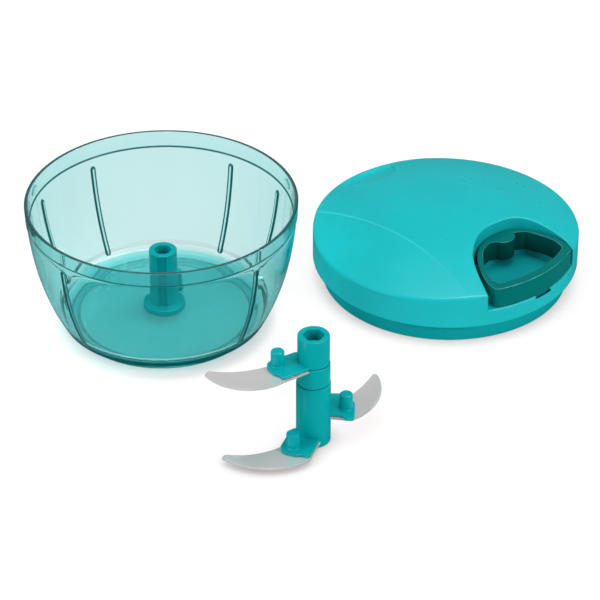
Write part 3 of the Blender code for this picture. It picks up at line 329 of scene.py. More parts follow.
def mouldedPlastic(name, lines=()):
    look = plasticLooks[name]
    mat = bpy.data.materials.new(name)
    mat.use_nodes = True
    nodes, links = mat.node_tree.nodes, mat.node_tree.links
    shader = nodes["Principled BSDF"]
    coords = nodes.new("ShaderNodeTexCoord").outputs["Object"]
    cloud = noiseNode(nodes, links, coords, plasticGrain["cloudScale"], 3)
    share = spreadNode(nodes, links, cloud, 0, 1)
    dark = [c * (1 - look["mottle"]) for c in look["colour"]]
    light = [min(1, c * (1 + look["mottle"])) for c in look["colour"]]
    # painted shade darkens hollows and painted highlights lighten rounded edges, where the piece's points are
    # marked so
    colour = blendColours(nodes, links, share, dark, light)
    shadedColour = [c * (1 - look["hollowShade"]) for c in look["colour"]]
    for mark, other in (("deep", shadedColour), ("glint", look["glint"])):
        read = nodes.new("ShaderNodeAttribute")
        read.attribute_name = mark
        colour = blendColours(nodes, links, read.outputs["Fac"], colour, other)
    # painted highlight lines, such as the lid's crease and scallop edge
    for centre, radius, half, axis, ends in lines:
        line = arcLine(nodes, links, coords, centre, radius, half, axis, ends)
        colour = blendColours(nodes, links, line, colour, look["glint"])
    links.new(colour, shader.inputs["Base Color"])
    rub = noiseNode(nodes, links, coords, plasticGrain["rubScale"], 5)
    smoothest = look["roughness"] - plasticGrain["rubSmoother"]
    roughest = look["roughness"] + plasticGrain["rubRougher"]
    links.new(spreadNode(nodes, links, rub, smoothest, roughest), shader.inputs["Roughness"])
    grain = noiseNode(nodes, links, coords, plasticGrain["grainScale"], 2)
    flow = noiseNode(nodes, links, coords, plasticGrain["flowScale"], 1)
    wavy = bumpNode(nodes, links, flow, plasticGrain["flowBump"], plasticGrain["flowDepth"])
    links.new(bumpNode(nodes, links, grain, look["grain"], plasticGrain["grainDepth"], wavy),
              shader.inputs["Normal"])
    shader.inputs["IOR"].default_value = plasticGrain["ior"]
    shader.inputs["Specular IOR Level"].default_value = look["shine"]
    return mat


clearLook = {
    "tint": (0.955, 0.92, 0.92),
    "absorbColour": (0.0, 0.735, 0.735),
    "absorbPerMetre": 285.0,
    "glow": (0.0, 6.2, 6.4),     # painted light: the plastic glows inside itself, per metre, in place of the light it scatters
    "edgeShadeColour": (0.0, 0.15, 0.148),     # painted shade: a solid dark teal line on the rib sides and ledge
    "edgeSolid": 0.9,
    "cloudTint": (0.26, 0.88, 0.89),    # the floor looks a little cloudy
    "cloudSolid": 0.22,
    "ior": 1.46,
    "mirror": (0.15, 0.22, 0.22),
    "shadowTint": (1.0, 0.82, 0.82),
    "rubScale": 300, "rubRoughest": 0.035,
    "flowScale": 35, "flowBump": 0.02, "flowDepth": 0.0006,
}


def clearPlastic(name):
    mat = bpy.data.materials.new(name)
    mat.use_nodes = True
    nodes, links = mat.node_tree.nodes, mat.node_tree.links
    shader = nodes["Principled BSDF"]
    out = nodes["Material Output"]
    # painted shade: dark lines on the rib sides and ledge
    edge = nodes.new("ShaderNodeAttribute")
    edge.attribute_name = "edge"
    cloud = nodes.new("ShaderNodeAttribute")
    cloud.attribute_name = "cloud"
    colour = blendColours(nodes, links, cloud.outputs["Fac"], clearLook["tint"], clearLook["cloudTint"])
    colour = blendColours(nodes, links, edge.outputs["Fac"], colour, clearLook["edgeShadeColour"])
    links.new(colour, shader.inputs["Base Color"])
    edgeClear = spreadNode(nodes, links, edge.outputs["Fac"], 1.0, 1 - clearLook["edgeSolid"], 0.0, 1.0)
    cloudClear = spreadNode(nodes, links, cloud.outputs["Fac"], 1.0, 1 - clearLook["cloudSolid"], 0.0, 1.0)
    links.new(mathNode(nodes, links, "MULTIPLY", edgeClear, cloudClear), shader.inputs["Transmission Weight"])
    shader.inputs["Specular Tint"].default_value = (*clearLook["mirror"], 1)
    shader.inputs["IOR"].default_value = clearLook["ior"]
    coords = nodes.new("ShaderNodeTexCoord").outputs["Object"]
    rub = noiseNode(nodes, links, coords, clearLook["rubScale"], 4)
    links.new(spreadNode(nodes, links, rub, 0.0, clearLook["rubRoughest"], 0.45, 0.75),
              shader.inputs["Roughness"])
    flow = noiseNode(nodes, links, coords, clearLook["flowScale"], 1)
    links.new(bumpNode(nodes, links, flow, clearLook["flowBump"], clearLook["flowDepth"]),
              shader.inputs["Normal"])
    soak = nodes.new("ShaderNodeVolumeAbsorption")
    soak.inputs["Color"].default_value = (*clearLook["absorbColour"], 1)
    soak.inputs["Density"].default_value = clearLook["absorbPerMetre"]
    # painted glow inside the clear plastic
    glowInside = nodes.new("ShaderNodeEmission")
    glowInside.inputs["Color"].default_value = (*clearLook["glow"], 1)
    inside = nodes.new("ShaderNodeAddShader")
    links.new(soak.outputs[0], inside.inputs[0])
    links.new(glowInside.outputs[0], inside.inputs[1])
    links.new(inside.outputs[0], out.inputs["Volume"])
    # shadow rays pass straight through, tinted, so that the shadow is light teal
    path = nodes.new("ShaderNodeLightPath")
    through = nodes.new("ShaderNodeBsdfTransparent")
    through.inputs["Color"].default_value = (*clearLook["shadowTint"], 1)
    mix = nodes.new("ShaderNodeMixShader")
    links.new(path.outputs["Is Shadow Ray"], mix.inputs[0])
    links.new(shader.outputs[0], mix.inputs[1])
    links.new(through.outputs[0], mix.inputs[2])
    links.new(mix.outputs[0], out.inputs["Surface"])
    return mat


metalLooks = {
    "bladeSteel": {
        "colour": (0.86, 0.86, 0.855), "metal": 0.5, "roughness": 0.15,
        "lines": (500, 30, 500), "brush": 0.006,
    },
    "screwSteel": {
        "colour": (0.46, 0.46, 0.45), "metal": 1.0, "roughness": 0.32,
        "lines": (400, 400, 60), "brush": 0.05,
    },
    "bushBrass": {
        "colour": (0.70, 0.50, 0.20), "metal": 1.0, "roughness": 0.30,
        "lines": (400, 400, 60), "brush": 0.05,
    },
}
metalGrain = {"cloudScale": 55, "brushScale": 3, "rub": 0.02, "depth": 0.00004}


def brushedMetal(name):
    look = metalLooks[name]
    mat = bpy.data.materials.new(name)
    mat.use_nodes = True
    nodes, links = mat.node_tree.nodes, mat.node_tree.links
    shader = nodes["Principled BSDF"]
    shader.inputs["Metallic"].default_value = look["metal"]
    coords = nodes.new("ShaderNodeTexCoord").outputs["Object"]
    cloud = noiseNode(nodes, links, coords, metalGrain["cloudScale"], 3)
    dark = [c * 0.98 for c in look["colour"]]
    light = [min(1, c * 1.02) for c in look["colour"]]
    links.new(blendColours(nodes, links, spreadNode(nodes, links, cloud, 0, 1), dark, light),
              shader.inputs["Base Color"])
    brush = noiseNode(nodes, links, coords, metalGrain["brushScale"], 4, look["lines"])
    smoothest, roughest = look["roughness"] - metalGrain["rub"], look["roughness"] + metalGrain["rub"]
    links.new(spreadNode(nodes, links, brush, smoothest, roughest), shader.inputs["Roughness"])
    links.new(bumpNode(nodes, links, brush, look["brush"], metalGrain["depth"]), shader.inputs["Normal"])
    return mat


cordLook = {
    "light": (0.80, 0.80, 0.77), "dark": (0.60, 0.60, 0.57), "sheen": 0.3,
    "weaveScale": 1900, "fibreScale": 5200,
    "smoothest": 0.62, "roughest": 0.85, "bump": 0.5, "depth": 0.00015,
}


def braidedCord(name):
    mat = bpy.data.materials.new(name)
    mat.use_nodes = True
    nodes, links = mat.node_tree.nodes, mat.node_tree.links
    shader = nodes["Principled BSDF"]
    shader.inputs["Sheen Weight"].default_value = cordLook["sheen"]
    coords = nodes.new("ShaderNodeTexCoord").outputs["Object"]
    weave = nodes.new("ShaderNodeTexVoronoi")
    weave.inputs["Scale"].default_value = cordLook["weaveScale"]
    links.new(coords, weave.inputs["Vector"])
    share = spreadNode(nodes, links, weave.outputs["Distance"], 0, 1, 0.1, 0.8)
    links.new(blendColours(nodes, links, share, cordLook["light"], cordLook["dark"]),
              shader.inputs["Base Color"])
    fibre = noiseNode(nodes, links, coords, cordLook["fibreScale"], 3)
    links.new(spreadNode(nodes, links, fibre, cordLook["smoothest"], cordLook["roughest"]),
              shader.inputs["Roughness"])
    links.new(bumpNode(nodes, links, share, cordLook["bump"], cordLook["depth"]), shader.inputs["Normal"])
    return mat


clearTeal = clearPlastic("clearTeal")
tealPlastic = mouldedPlastic("tealPlastic")
basePlastic = mouldedPlastic("basePlastic")
handlePlastic = mouldedPlastic("handlePlastic")
whiteNylon = mouldedPlastic("whiteNylon")
bladeSteel = brushedMetal("bladeSteel")
screwSteel = brushedMetal("screwSteel")
bushBrass = brushedMetal("bushBrass")
cordNylon = braidedCord("cordNylon")
print("finishes mixed")


# modelling helpers
gap = 0.3   # between pieces that touch


def polar(radius, degrees):
    return (radius * math.cos(math.radians(degrees)), radius * math.sin(math.radians(degrees)))


def softened(corners, closed=True, steps=4):
    # corners (a, b, radius, tag) to points (a, b, tag), each corner with a radius as a round arc
    out = []
    count = len(corners)
    for i, corner in enumerate(corners):
        tag = corner[3] if len(corner) > 3 else ""
        atEnd = not closed and i in (0, count - 1)
        if corner[2] == 0 or atEnd:
            out.append((corner[0], corner[1], tag))
            continue
        here = Vector(corner[:2])
        back = Vector(corners[i - 1][:2]) - here
        ahead = Vector(corners[(i + 1) % count][:2]) - here
        half = back.angle(ahead) / 2
        reach = min(corner[2] / math.tan(half), 0.49 * back.length, 0.49 * ahead.length)
        radius = reach * math.tan(half)
        middle = here + (back.normalized() + ahead.normalized()).normalized() * radius / math.sin(half)
        first = here + back.normalized() * reach - middle
        last = here + ahead.normalized() * reach - middle
        turn = math.pi - 2 * half
        for k in range(steps + 1):
            t = k / steps
            point = middle + (first * math.sin((1 - t) * turn) + last * math.sin(t * turn)) / math.sin(turn)
            out.append((point.x, point.y, tag))
    return out


def smoothShare(value):
    value = max(0.0, min(1.0, value))
    return value * value * (3 - 2 * value)


def evenAngles(count):
    return [360 * k / count for k in range(count)]


def spun(rows, angles, shape=None, closed=False):
    # rows (radius, height, tag) turned round the axis; shape(tag, radius, height, degrees) may move
    # a tagged row in or out
    points = []
    for radius, height, tag in rows:
        for degrees in angles:
            reach = shape(tag, radius, height, degrees) if shape and tag else radius
            points.append((*polar(reach, degrees), height))
    faces = []
    across = len(angles)
    rounds = len(rows) if closed else len(rows) - 1
    for i in range(rounds):
        low, high = i * across, (i + 1) % len(rows) * across
        for k in range(across):
            j = (k + 1) % across
            faces.append((low + k, low + j, high + j, high + k))
    return points, faces


def anticlockwise(line):
    area = sum(line[i - 1][0] * line[i][1] - line[i][0] * line[i - 1][1] for i in range(len(line)))
    return list(line) if area > 0 else list(reversed(line))


def normalsOf(line):
    # outward normals of an anticlockwise outline
    out = []
    count = len(line)
    for i in range(count):
        before, after = Vector(line[i - 1][:2]), Vector(line[(i + 1) % count][:2])
        here = Vector(line[i][:2])
        first, second = (here - before).normalized(), (after - here).normalized()
        normal = Vector((first.y + second.y, -first.x - second.x)).normalized()
        reach = max(0.5, normal.x * first.y - normal.y * first.x)
        out.append(normal / reach)
    return out


def grown(line, distance):
    return [(p[0] + n.x * distance, p[1] + n.y * distance) for p, n in zip(line, normalsOf(line))]


def smoothLine(points, pieces):
    ends = [points[0], *points, points[-1]]
    out = []
    for i in range(1, len(ends) - 2):
        a, b, c, d = (Vector(p) for p in ends[i - 1:i + 3])
        for k in range(pieces):
            t = k / pieces
            out.append(tuple(0.5 * (2 * b + (c - a) * t + (2 * a - 5 * b + 4 * c - d) * t ** 2
                                    + (3 * b - a - 3 * c + d) * t ** 3)))
    out.append(tuple(points[-1]))
    return out


def insideOutline(x, y, line):
    inside = False
    for i in range(len(line)):
        ax, ay = line[i - 1][0], line[i - 1][1]
        bx, by = line[i][0], line[i][1]
        if (ay > y) != (by > y) and x < (bx - ax) * (y - ay) / (by - ay) + ax:
            inside = not inside
    return inside


def filled(outer, holes, extra=(), creases=()):
    # triangles that fill an outline with holes, through extra points and along crease lines
    coords = [Vector(p[:2]) for p in outer]
    edges = [(i, (i + 1) % len(outer)) for i in range(len(outer))]
    for hole in holes:
        first = len(coords)
        coords += [Vector(p[:2]) for p in hole]
        edges += [(first + i, first + (i + 1) % len(hole)) for i in range(len(hole))]
    for crease in creases:
        first = len(coords)
        coords += [Vector(p[:2]) for p in crease]
        edges += [(first + i, first + i + 1) for i in range(len(crease) - 1)]
    coords += [Vector(p[:2]) for p in extra]
    verts, _, tris, *_ = delaunay_2d_cdt(coords, edges, [], 0, 0.00001)
    kept = []
    for tri in tris:
        x = sum(verts[i].x for i in tri) / 3
        y = sum(verts[i].y for i in tri) / 3
        if insideOutline(x, y, outer) and not any(insideOutline(x, y, hole) for hole in holes):
            kept.append(tuple(tri))
    return [(v.x, v.y) for v in verts], kept


def plate(outer, holes, bottom, top, soft, steps=3):
    # an outline with holes as a flat solid whose edges are rounded
    points, faces = [], []
    levels = []
    for k in range(steps + 1):
        turn = math.pi / 2 * k / steps
        levels.append((soft * (1 - math.sin(turn)), bottom + soft * (1 - math.cos(turn))))
    levels += [(inset, bottom + top - height) for inset, height in reversed(levels)]
    loops = [(anticlockwise(outer), -1)] + [(anticlockwise(hole), 1) for hole in holes]
    caps = []
    for line, side in loops:
        rings = []
        for inset, height in levels:
            rings.append(len(points))
            points += [(x, y, height) for x, y in grown(line, side * inset)]
        caps.append(grown(line, side * soft))
        count = len(line)
        for low, high in zip(rings, rings[1:]):
            for i in range(count):
                j = (i + 1) % count
                faces.append((low + i, low + j, high + j, high + i))
    flat, tris = filled(caps[0], caps[1:])
    for height in (bottom, top):
        first = len(points)
        points += [(x, y, height) for x, y in flat]
        faces += [tuple(first + i for i in tri) for tri in tris]
    return points, faces


def makePiece(name, shapes, place, finish, sharp=32):
    # one object from (points, faces) shapes in millimetres
    bm = bmesh.new()
    for points, faces in shapes:
        verts = [bm.verts.new(p) for p in points]
        for face in faces:
            try:
                bm.faces.new([verts[i] for i in face])
            except ValueError:
                pass   # a face already there
    bmesh.ops.remove_doubles(bm, verts=bm.verts, dist=0.002)
    loose = [v for v in bm.verts if not v.link_faces]
    bmesh.ops.delete(bm, geom=loose, context="VERTS")
    bmesh.ops.recalc_face_normals(bm, faces=bm.faces)
    bmesh.ops.transform(bm, matrix=place, verts=bm.verts)
    mesh = bpy.data.meshes.new(name)
    bm.to_mesh(mesh)
    bm.free()
    mesh.shade_smooth()
    mesh.set_sharp_from_angle(angle=math.radians(sharp))
    mesh.materials.append(finish)
    piece = bpy.data.objects.new(name, mesh)
    bpy.context.scene.collection.objects.link(piece)
    return piece


def combine(piece, tools, operation, sharp=32):
    # solid tools joined to or cut from a piece, then thrown away
    for tool in tools:
        step = piece.modifiers.new("solid", "BOOLEAN")
        step.operation = operation
        step.solver = "EXACT"
        step.object = tool
    bpy.context.view_layer.update()
    mesh = bpy.data.meshes.new_from_object(piece.evaluated_get(bpy.context.evaluated_depsgraph_get()))
    piece.modifiers.clear()
    old = piece.data
    piece.data = mesh
    mesh.name = piece.name
    bpy.data.meshes.remove(old)
    for tool in tools:
        bpy.data.objects.remove(tool, do_unlink=True)
    mesh.shade_smooth()
    mesh.set_sharp_from_angle(angle=math.radians(sharp))
    return piece


def settle(piece, body, nodes):
    # flat faces stay flat next to their rounded edges, then the piece goes on its body
    weighted = piece.modifiers.new("flatFaces", "WEIGHTED_NORMAL")
    weighted.keep_sharp = True
    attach(piece, body)
    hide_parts(*nodes)


# bowl
bowl = {
    "rimRadius": 59.7, "height": 61.1, "wall": 1.9, "rimLip": 1.45,
    "bandHeight": 7.2, "bandWall": 1.7, "bandStep": 0.3,
    "footRadius": 41.4, "footHeight": 3.8, "footWall": 2.6, "baseRadius": 45.6, "fullness": 2.7, "draft": 0.3,
    "floorTop": 6.0, "floorThickness": 3.2, "floorCorner": 4.6, "stubRadius": 2.9, "stubHeight": 5.0,
    "ribs": (27.0, 59.0, 125.5, 161.5, 225.0, 316.5), "ribHalf": 1.2, "ribProud": 0.85, "ribRound": 0.35,
    "ribFoot": 8.0, "ribTop": 49.8,
    "lugs": (19.0, 167.0), "lugLength": 7.0, "lugHeight": 3.6, "lugProud": 0.4, "lugRound": 0.4,
    # ribRound and lugRound are powers: the smaller, the blunter
    # where the wall has points: degrees from a rib's middle and a bump's, millimetres from a rib's ends
    "ribColumns": (0, 0.15, 0.25, 0.35, 0.5, 0.62, 0.75, 0.9, 1.05, 1.13, 1.21, 1.29, 1.37, 1.45, 1.53,
                   1.61, 1.8),
    "lugColumn": 0.33,
    "footRows": (0.75, 0.85, 0.95, 1.1, 1.25, 1.45, 1.7),
    "topRows": (1.4, 1.2, 1.0, 0.8, 0.6, 0.45, 0.3, 0.18, 0.08, 0.0, -0.4, -1.6),
    "innerRow": 1.6, "outerRow": 1.7,
}
# painted shade as dark lines in the clear plastic: where they start and end, and how fast they fade, in half
# widths of a rib or half sizes of a bump; the ledge in millimetres; how cloudy the band is, and how the
# floor's cloud fades
bowlMarks = {
    "ribStart": 0.42, "awayStart": 0.12, "ribFade": 0.13, "ribEnd": 1.15, "endFade": 0.08,
    "lugDark": 0.35, "lugLine": 0.95, "lugFade": 0.3, "ledgeUp": 0.03, "ledgeHalf": 0.25,
    "cloudBand": 0.4, "cloudFade": 1.2,
}


def bowlRadius(z):
    t = max(0.0, min(1.0, (z - bowl["footHeight"]) / (bowl["height"] - bowl["footHeight"])))
    share = bowl["draft"] * t + (1 - bowl["draft"]) * (1 - (1 - t) ** bowl["fullness"])
    return bowl["baseRadius"] + (bowl["rimRadius"] - bowl["baseRadius"]) * share


def headingGap(first, second):
    return abs((first - second + 180) % 360 - 180)


def fromRib(rib, radius, height, degrees):
    # how far a point lies across a rib and past its ends, in half widths of the rib
    size = bowl["ribHalf"]
    across = math.radians(headingGap(degrees, rib)) * radius / size
    past = max(0.0, height - bowl["ribTop"] + size, bowl["ribFoot"] + size - height) / size
    return across, past


def fromLug(lug, radius, height, degrees):
    # how far a point lies from a lock bump's middle, in half lengths and half heights
    middle = bowl["height"] - bowl["bandHeight"] / 2
    along = math.radians(headingGap(degrees, lug)) * radius / (bowl["lugLength"] / 2)
    return along, (height - middle) / (bowl["lugHeight"] / 2)


def bowlShape(tag, radius, height, degrees):
    push = 0.0
    if tag == "wall":
        for rib in bowl["ribs"]:
            across, past = fromRib(rib, radius, height, degrees)
            room = 1 - (across ** 2 + past ** 2) ** 2
            if room > 0:
                push = max(push, bowl["ribProud"] * room ** bowl["ribRound"])
    if tag == "band":
        for lug in bowl["lugs"]:
            along, up = fromLug(lug, radius, height, degrees)
            room = 1 - along ** 2 - up ** 2
            if room > 0:
                push = max(push, bowl["lugProud"] * room ** bowl["lugRound"])
    return radius - push


def edgeShare(x, y, z):
    # how much painted shade darkens the clear plastic at a point of the bowl's inside: sides of the ribs and
    # bumps, the ledge
    radius = math.hypot(x, y)
    if z < bowl["ribFoot"] or radius > bowlRadius(z) - bowl["wall"] / 2:
        return 0.0
    degrees = math.degrees(math.atan2(y, x)) % 360
    share = 0.0
    for rib in bowl["ribs"]:
        out = math.hypot(*fromRib(rib, radius, z, degrees))
        # the side that turns away from the front is drawn wider
        away = (degrees - rib) * (rib - 90 if rib < 200 else 270 - rib) < 0
        start = bowlMarks["awayStart" if away else "ribStart"]
        share = max(share, min(1, (out - start) / bowlMarks["ribFade"],
                               (bowlMarks["ribEnd"] - out) / bowlMarks["endFade"]))
    for lug in bowl["lugs"]:
        out = math.hypot(*fromLug(lug, radius, z, degrees))
        share = max(share, bowlMarks["lugDark"] - abs(out - bowlMarks["lugLine"]) / bowlMarks["lugFade"])
    ledge = bowl["height"] - bowl["bandHeight"]
    if abs(z - ledge - bowlMarks["ledgeUp"]) < bowlMarks["ledgeHalf"]:
        share = 1.0
    return share


def cloudShare(x, y, z):
    # how cloudy the clear plastic looks: the floor and the inside of the rim band
    if math.hypot(x, y) > bowlRadius(z) - bowl["wall"] / 2 or z < bowl["floorTop"] - 1:
        return 0.0
    if z > bowl["height"] - bowl["bandHeight"] + 0.2:
        return bowlMarks["cloudBand"]
    return max(0.0, min(1.0, 1 - (z - bowl["floorTop"]) / bowlMarks["cloudFade"]))


def bowlAngles():
    angles = set(evenAngles(150))
    for rib in bowl["ribs"]:
        for step in bowl["ribColumns"]:
            angles |= {(rib + step) % 360, (rib - step) % 360}
    for lug in bowl["lugs"]:
        for step in range(12):
            angles |= {(lug + step * bowl["lugColumn"]) % 360, (lug - step * bowl["lugColumn"]) % 360}
    out = []
    for degrees in sorted(angles):
        if not out or degrees - out[-1] > 0.05:
            out.append(degrees)
    return out


def buildBowl():
    ledge = bowl["height"] - bowl["bandHeight"]
    floorTop = bowl["floorTop"]
    under = floorTop - bowl["floorThickness"]
    cornerTop = floorTop + bowl["floorCorner"]
    cornerRadius = bowlRadius(cornerTop) - bowl["wall"]
    cornerWidth = 1.3 * bowl["floorCorner"]
    stub, stubTop = bowl["stubRadius"], floorTop + bowl["stubHeight"]
    rows = [(0, stubTop, ""), (stub - 0.3, stubTop, ""), (stub, stubTop - 0.3, ""), (stub, floorTop, "")]
    rows += [(r, floorTop, "") for r in (12, 22, 32, cornerRadius - cornerWidth - 1)]
    for k in range(11):
        turn = math.pi / 2 * k / 10
        rows.append((cornerRadius - cornerWidth + cornerWidth * math.sin(turn),
                     cornerTop - bowl["floorCorner"] * math.cos(turn), "wall"))
    heights = [cornerTop + bowl["innerRow"] * k for k in range(1, 24)]
    heights = [h for h in heights if bowl["ribFoot"] + 1.8 < h < bowl["ribTop"] - 1.6]
    heights = [bowl["ribFoot"] + d for d in bowl["footRows"]] + heights
    heights += [bowl["ribTop"] - d for d in bowl["topRows"]]
    rows += [(bowlRadius(h) - bowl["wall"], h, "wall") for h in heights]
    stepRadius = bowlRadius(ledge) + bowl["bandStep"] - bowl["bandWall"]
    rows += [(bowlRadius(ledge - 0.5) - bowl["wall"], ledge - 0.5, ""),
             (bowlRadius(ledge) - bowl["wall"] + 0.03, ledge - 0.2, ""),
             (bowlRadius(ledge) - bowl["wall"] + 0.15, ledge, ""), (stepRadius - 0.1, ledge + 0.02, ""),
             (stepRadius, ledge + 0.15, "")]
    bandTop = bowl["height"] - 0.45
    rimInside = bowl["rimRadius"] - bowl["rimLip"]
    for k in range(15):
        t = (k + 0.5) / 15
        rows.append((stepRadius + (rimInside - stepRadius) * t,
                     ledge + 0.3 + (bandTop - ledge - 0.3) * t, "band"))
    rows += softened([(rimInside, bandTop, 0), (rimInside, bowl["height"], 0.3),
                      (bowl["rimRadius"], bowl["height"], 0.3), (bowl["rimRadius"], bandTop, 0)],
                     closed=False)
    rows += [(bowlRadius(ledge) + bowl["bandStep"], ledge + 0.25, ""), (bowlRadius(ledge) + 0.1, ledge, "")]
    step = bowl["outerRow"]
    rows += [(bowlRadius(ledge - step * k), ledge - step * k, "") for k in range(1, 29)]
    foot = bowl["footRadius"]
    footInside = foot - bowl["footWall"]
    rows += softened([(bowlRadius(4.8), 4.8, 0), (bowlRadius(3.9), 3.9, 0.5), (foot + 0.1, 3.0, 0.6),
                      (foot, 0, 0.5), (footInside, 0, 0.4), (footInside - 0.8, under, 1.0), (0, under, 0)],
                     closed=False)
    piece = makePiece("clearBowl", [spun(rows, bowlAngles(), bowlShape)], bowlPlace, clearTeal, 38)
    # painted shade lines on the rib sides and ledge
    markPoints(piece, "edge", edgeShare, bowlPlace)
    markPoints(piece, "cloud", cloudShare, bowlPlace)
    settle(piece, "bowl", ["bowl"])


# centre post with its drive bore and groove, and the peg behind it
post = {
    "radius": 6.2, "top": 35.3, "bore": 3.7, "boreWaist": 3.25, "lobeRound": 0.8,
    "flange": 9.3, "flangeThickness": 2.6,
    "grooveWidth": 4.4, "grooveDepth": 1.7, "grooveTop": 34.5, "grooveHeading": 266.0,
    "pegRadius": 1.75, "pegHeight": 9.0, "pegAt": (5.9, 14.2),
}


def sixLobed(radius, waist, degrees):
    return waist + (radius - waist) * abs(math.cos(3 * math.radians(degrees))) ** post["lobeRound"]


def postShape(tag, radius, height, degrees):
    if tag == "bore":
        return radius + sixLobed(post["bore"], post["boreWaist"], degrees) - post["bore"]
    if tag == "shaft" and height < post["grooveTop"]:
        half = math.degrees(math.asin(post["grooveWidth"] / 2 / post["radius"]))
        off = headingGap(degrees, post["grooveHeading"])
        if off < half - 0.2:
            return min(radius, (post["radius"] - post["grooveDepth"]) / math.cos(math.radians(off)))
    return radius


def buildPost():
    bottom = bowl["floorTop"] + gap
    flangeTop = bottom + post["flangeThickness"]
    radius = post["radius"]
    corners = [(post["bore"], bottom, 0.2, "bore"), (post["bore"], post["top"], 0.25, "bore"),
               (radius, post["top"], 0.45, "rim"), (radius, post["grooveTop"] + 0.01, 0, "rim"),
               (radius, post["grooveTop"] - 0.01, 0, "shaft"), (radius, 20, 0, "shaft"),
               (radius, flangeTop, 0.7, "shaft"), (post["flange"], flangeTop, 0.5),
               (post["flange"], bottom, 0.2)]
    half = math.degrees(math.asin(post["grooveWidth"] / 2 / radius))
    angles = set(evenAngles(96))
    for off in (half + 0.2, half, half - 0.25, half - 0.6, half / 2, 0):
        angles |= {post["grooveHeading"] + off, post["grooveHeading"] - off}
    shape = spun(softened(corners), sorted(angles), postShape, closed=True)
    piece = makePiece("centrePost", [shape], bowlPlace, tealPlastic)
    settle(piece, "bowl", ["centre_post"])
    peg, pegTop = post["pegRadius"], bottom + post["pegHeight"]
    rows = softened([(0, bottom, 0), (peg, bottom, 0.15), (peg, pegTop, 0.8), (0, pegTop, 0)],
                    closed=False, steps=5)
    place = bowlPlace @ Matrix.Translation((*post["pegAt"], 0))
    piece = makePiece("floorPeg", [spun(rows, evenAngles(32))], place, tealPlastic)
    settle(piece, "bowl", ["post_peg"])


buildBowl()
buildPost()
print("bowl and post built")

# blade unit: hub sections, arms with pegs, blades
hub = {
    "lowerRadius": 7.3, "middleRadius": 7.05, "upperRadius": 6.75,
    "lowerTop": 29.4, "middleTop": 39.2, "height": 52.8,
    "postRoom": 6.45, "postDepth": 21.2, "spigot": 5.2, "spigotBore": 3.9, "spigotGrip": 4.0,
    "socket": 4.4, "socketWaist": 3.8,
    "armThickness": 1.2, "armRound": 0.28, "pegRadius": 2.85, "pegHeight": 7.0, "pegFlare": 0.55, "sink": 0.6,
    "pegStake": 1.6, "hubStake": 1.1, "stakeLip": 0.8, "stakeHead": 0.6,
}
# the bevel starts at a share of its width and is whole after some points of the outer edge
blade = {
    "thickness": 0.9, "edge": 0.2, "bevel": 0.9, "tipBulge": 1.1,
    "bevelStart": 0.3, "bevelGrowth": 0.7, "narrowPoints": 12, "growingPoints": 10,
}
arms = {
    "lower": {
        "top": 4.9, "heading": -109.5, "hand": 1, "peg": (14.4, -3.9), "stake": (10.2, 0.8),
        "plate": ((0, -5.5, 0), (3, -8.8, 3), (19.2, -9.0, 4.4), (19.6, -0.6, 2), (18.4, 1.2, 2),
                  (19.0, 4.8, 1.5), (0, 4.8, 0)),
        "outer": ((-1.9, -20.1), (-20.3, -26.0), (-37.6, -18.9)),
        "inner": ((-36.3, -16.2), (-27.0, -16.3), (-12.0, -9.3)),
    },
    "middle": {
        "top": 14.5, "heading": -6.0, "hand": -1, "peg": (13.4, -3.8), "stake": (10.4, -8.4),
        "plate": ((0, 1.9, 0), (11.8, 1.9, 1), (14.4, 4.9, 1.2), (17.6, 3.6, 1.6), (16.8, -8.3, 4),
                  (9.6, -13.6, 2.5), (5.6, -13.2, 1.5), (1.5, -6.5, 0)),
        "outer": ((16.2, -4.6), (27.3, 9.6), (27.9, 27.6)),
        "inner": ((25.4, 28.3), (22.6, 22.8), (14.5, 11.2)),
    },
    "upper": {
        "top": 40.7, "heading": -146.0, "hand": 1, "peg": (14.6, -4.9), "stake": (10.2, 0.8),
        "plate": ((0, -5.5, 0), (3, -8.6, 3), (19.0, -9.2, 4.4), (19.3, -0.6, 2), (18.0, 1.2, 2),
                  (18.2, 4.5, 1.5), (0, 4.5, 0)),
        "outer": ((-12.0, -14.1), (-28.6, -19.5), (-44.4, -9.8)),
        "inner": ((-43.0, -6.9), (-31.0, -7.2), (-16.0, -1.6)),
    },
}


def armPoint(arm, along, across):
    heading = math.radians(arm["heading"])
    ahead = Vector((math.cos(heading), math.sin(heading)))
    side = Vector((-ahead.y, ahead.x)) * arm["hand"]
    point = ahead * along + side * across
    return (point.x, point.y)


def arcThrough(start, middle, end, pieces):
    a, b, c = Vector(start), Vector(middle), Vector(end)
    d = 2 * (a.x * (b.y - c.y) + b.x * (c.y - a.y) + c.x * (a.y - b.y))
    x = (a.dot(a) * (b.y - c.y) + b.dot(b) * (c.y - a.y) + c.dot(c) * (a.y - b.y)) / d
    y = (a.dot(a) * (c.x - b.x) + b.dot(b) * (a.x - c.x) + c.dot(c) * (b.x - a.x)) / d
    radius = (a - Vector((x, y))).length
    first = math.atan2(a.y - y, a.x - x)
    turn = (math.atan2(c.y - y, c.x - x) - first) % math.tau
    if (math.atan2(b.y - y, b.x - x) - first) % math.tau > turn:
        turn -= math.tau
    angles = [first + turn * k / pieces for k in range(pieces + 1)]
    return [(x + radius * math.cos(angle), y + radius * math.sin(angle)) for angle in angles]


def roundTool(name, corners, at, place, finish, count=48):
    rows = softened(corners, closed=False, steps=4)
    return makePiece(name, [spun(rows, evenAngles(count))], place @ Matrix.Translation((*at, 0)), finish)


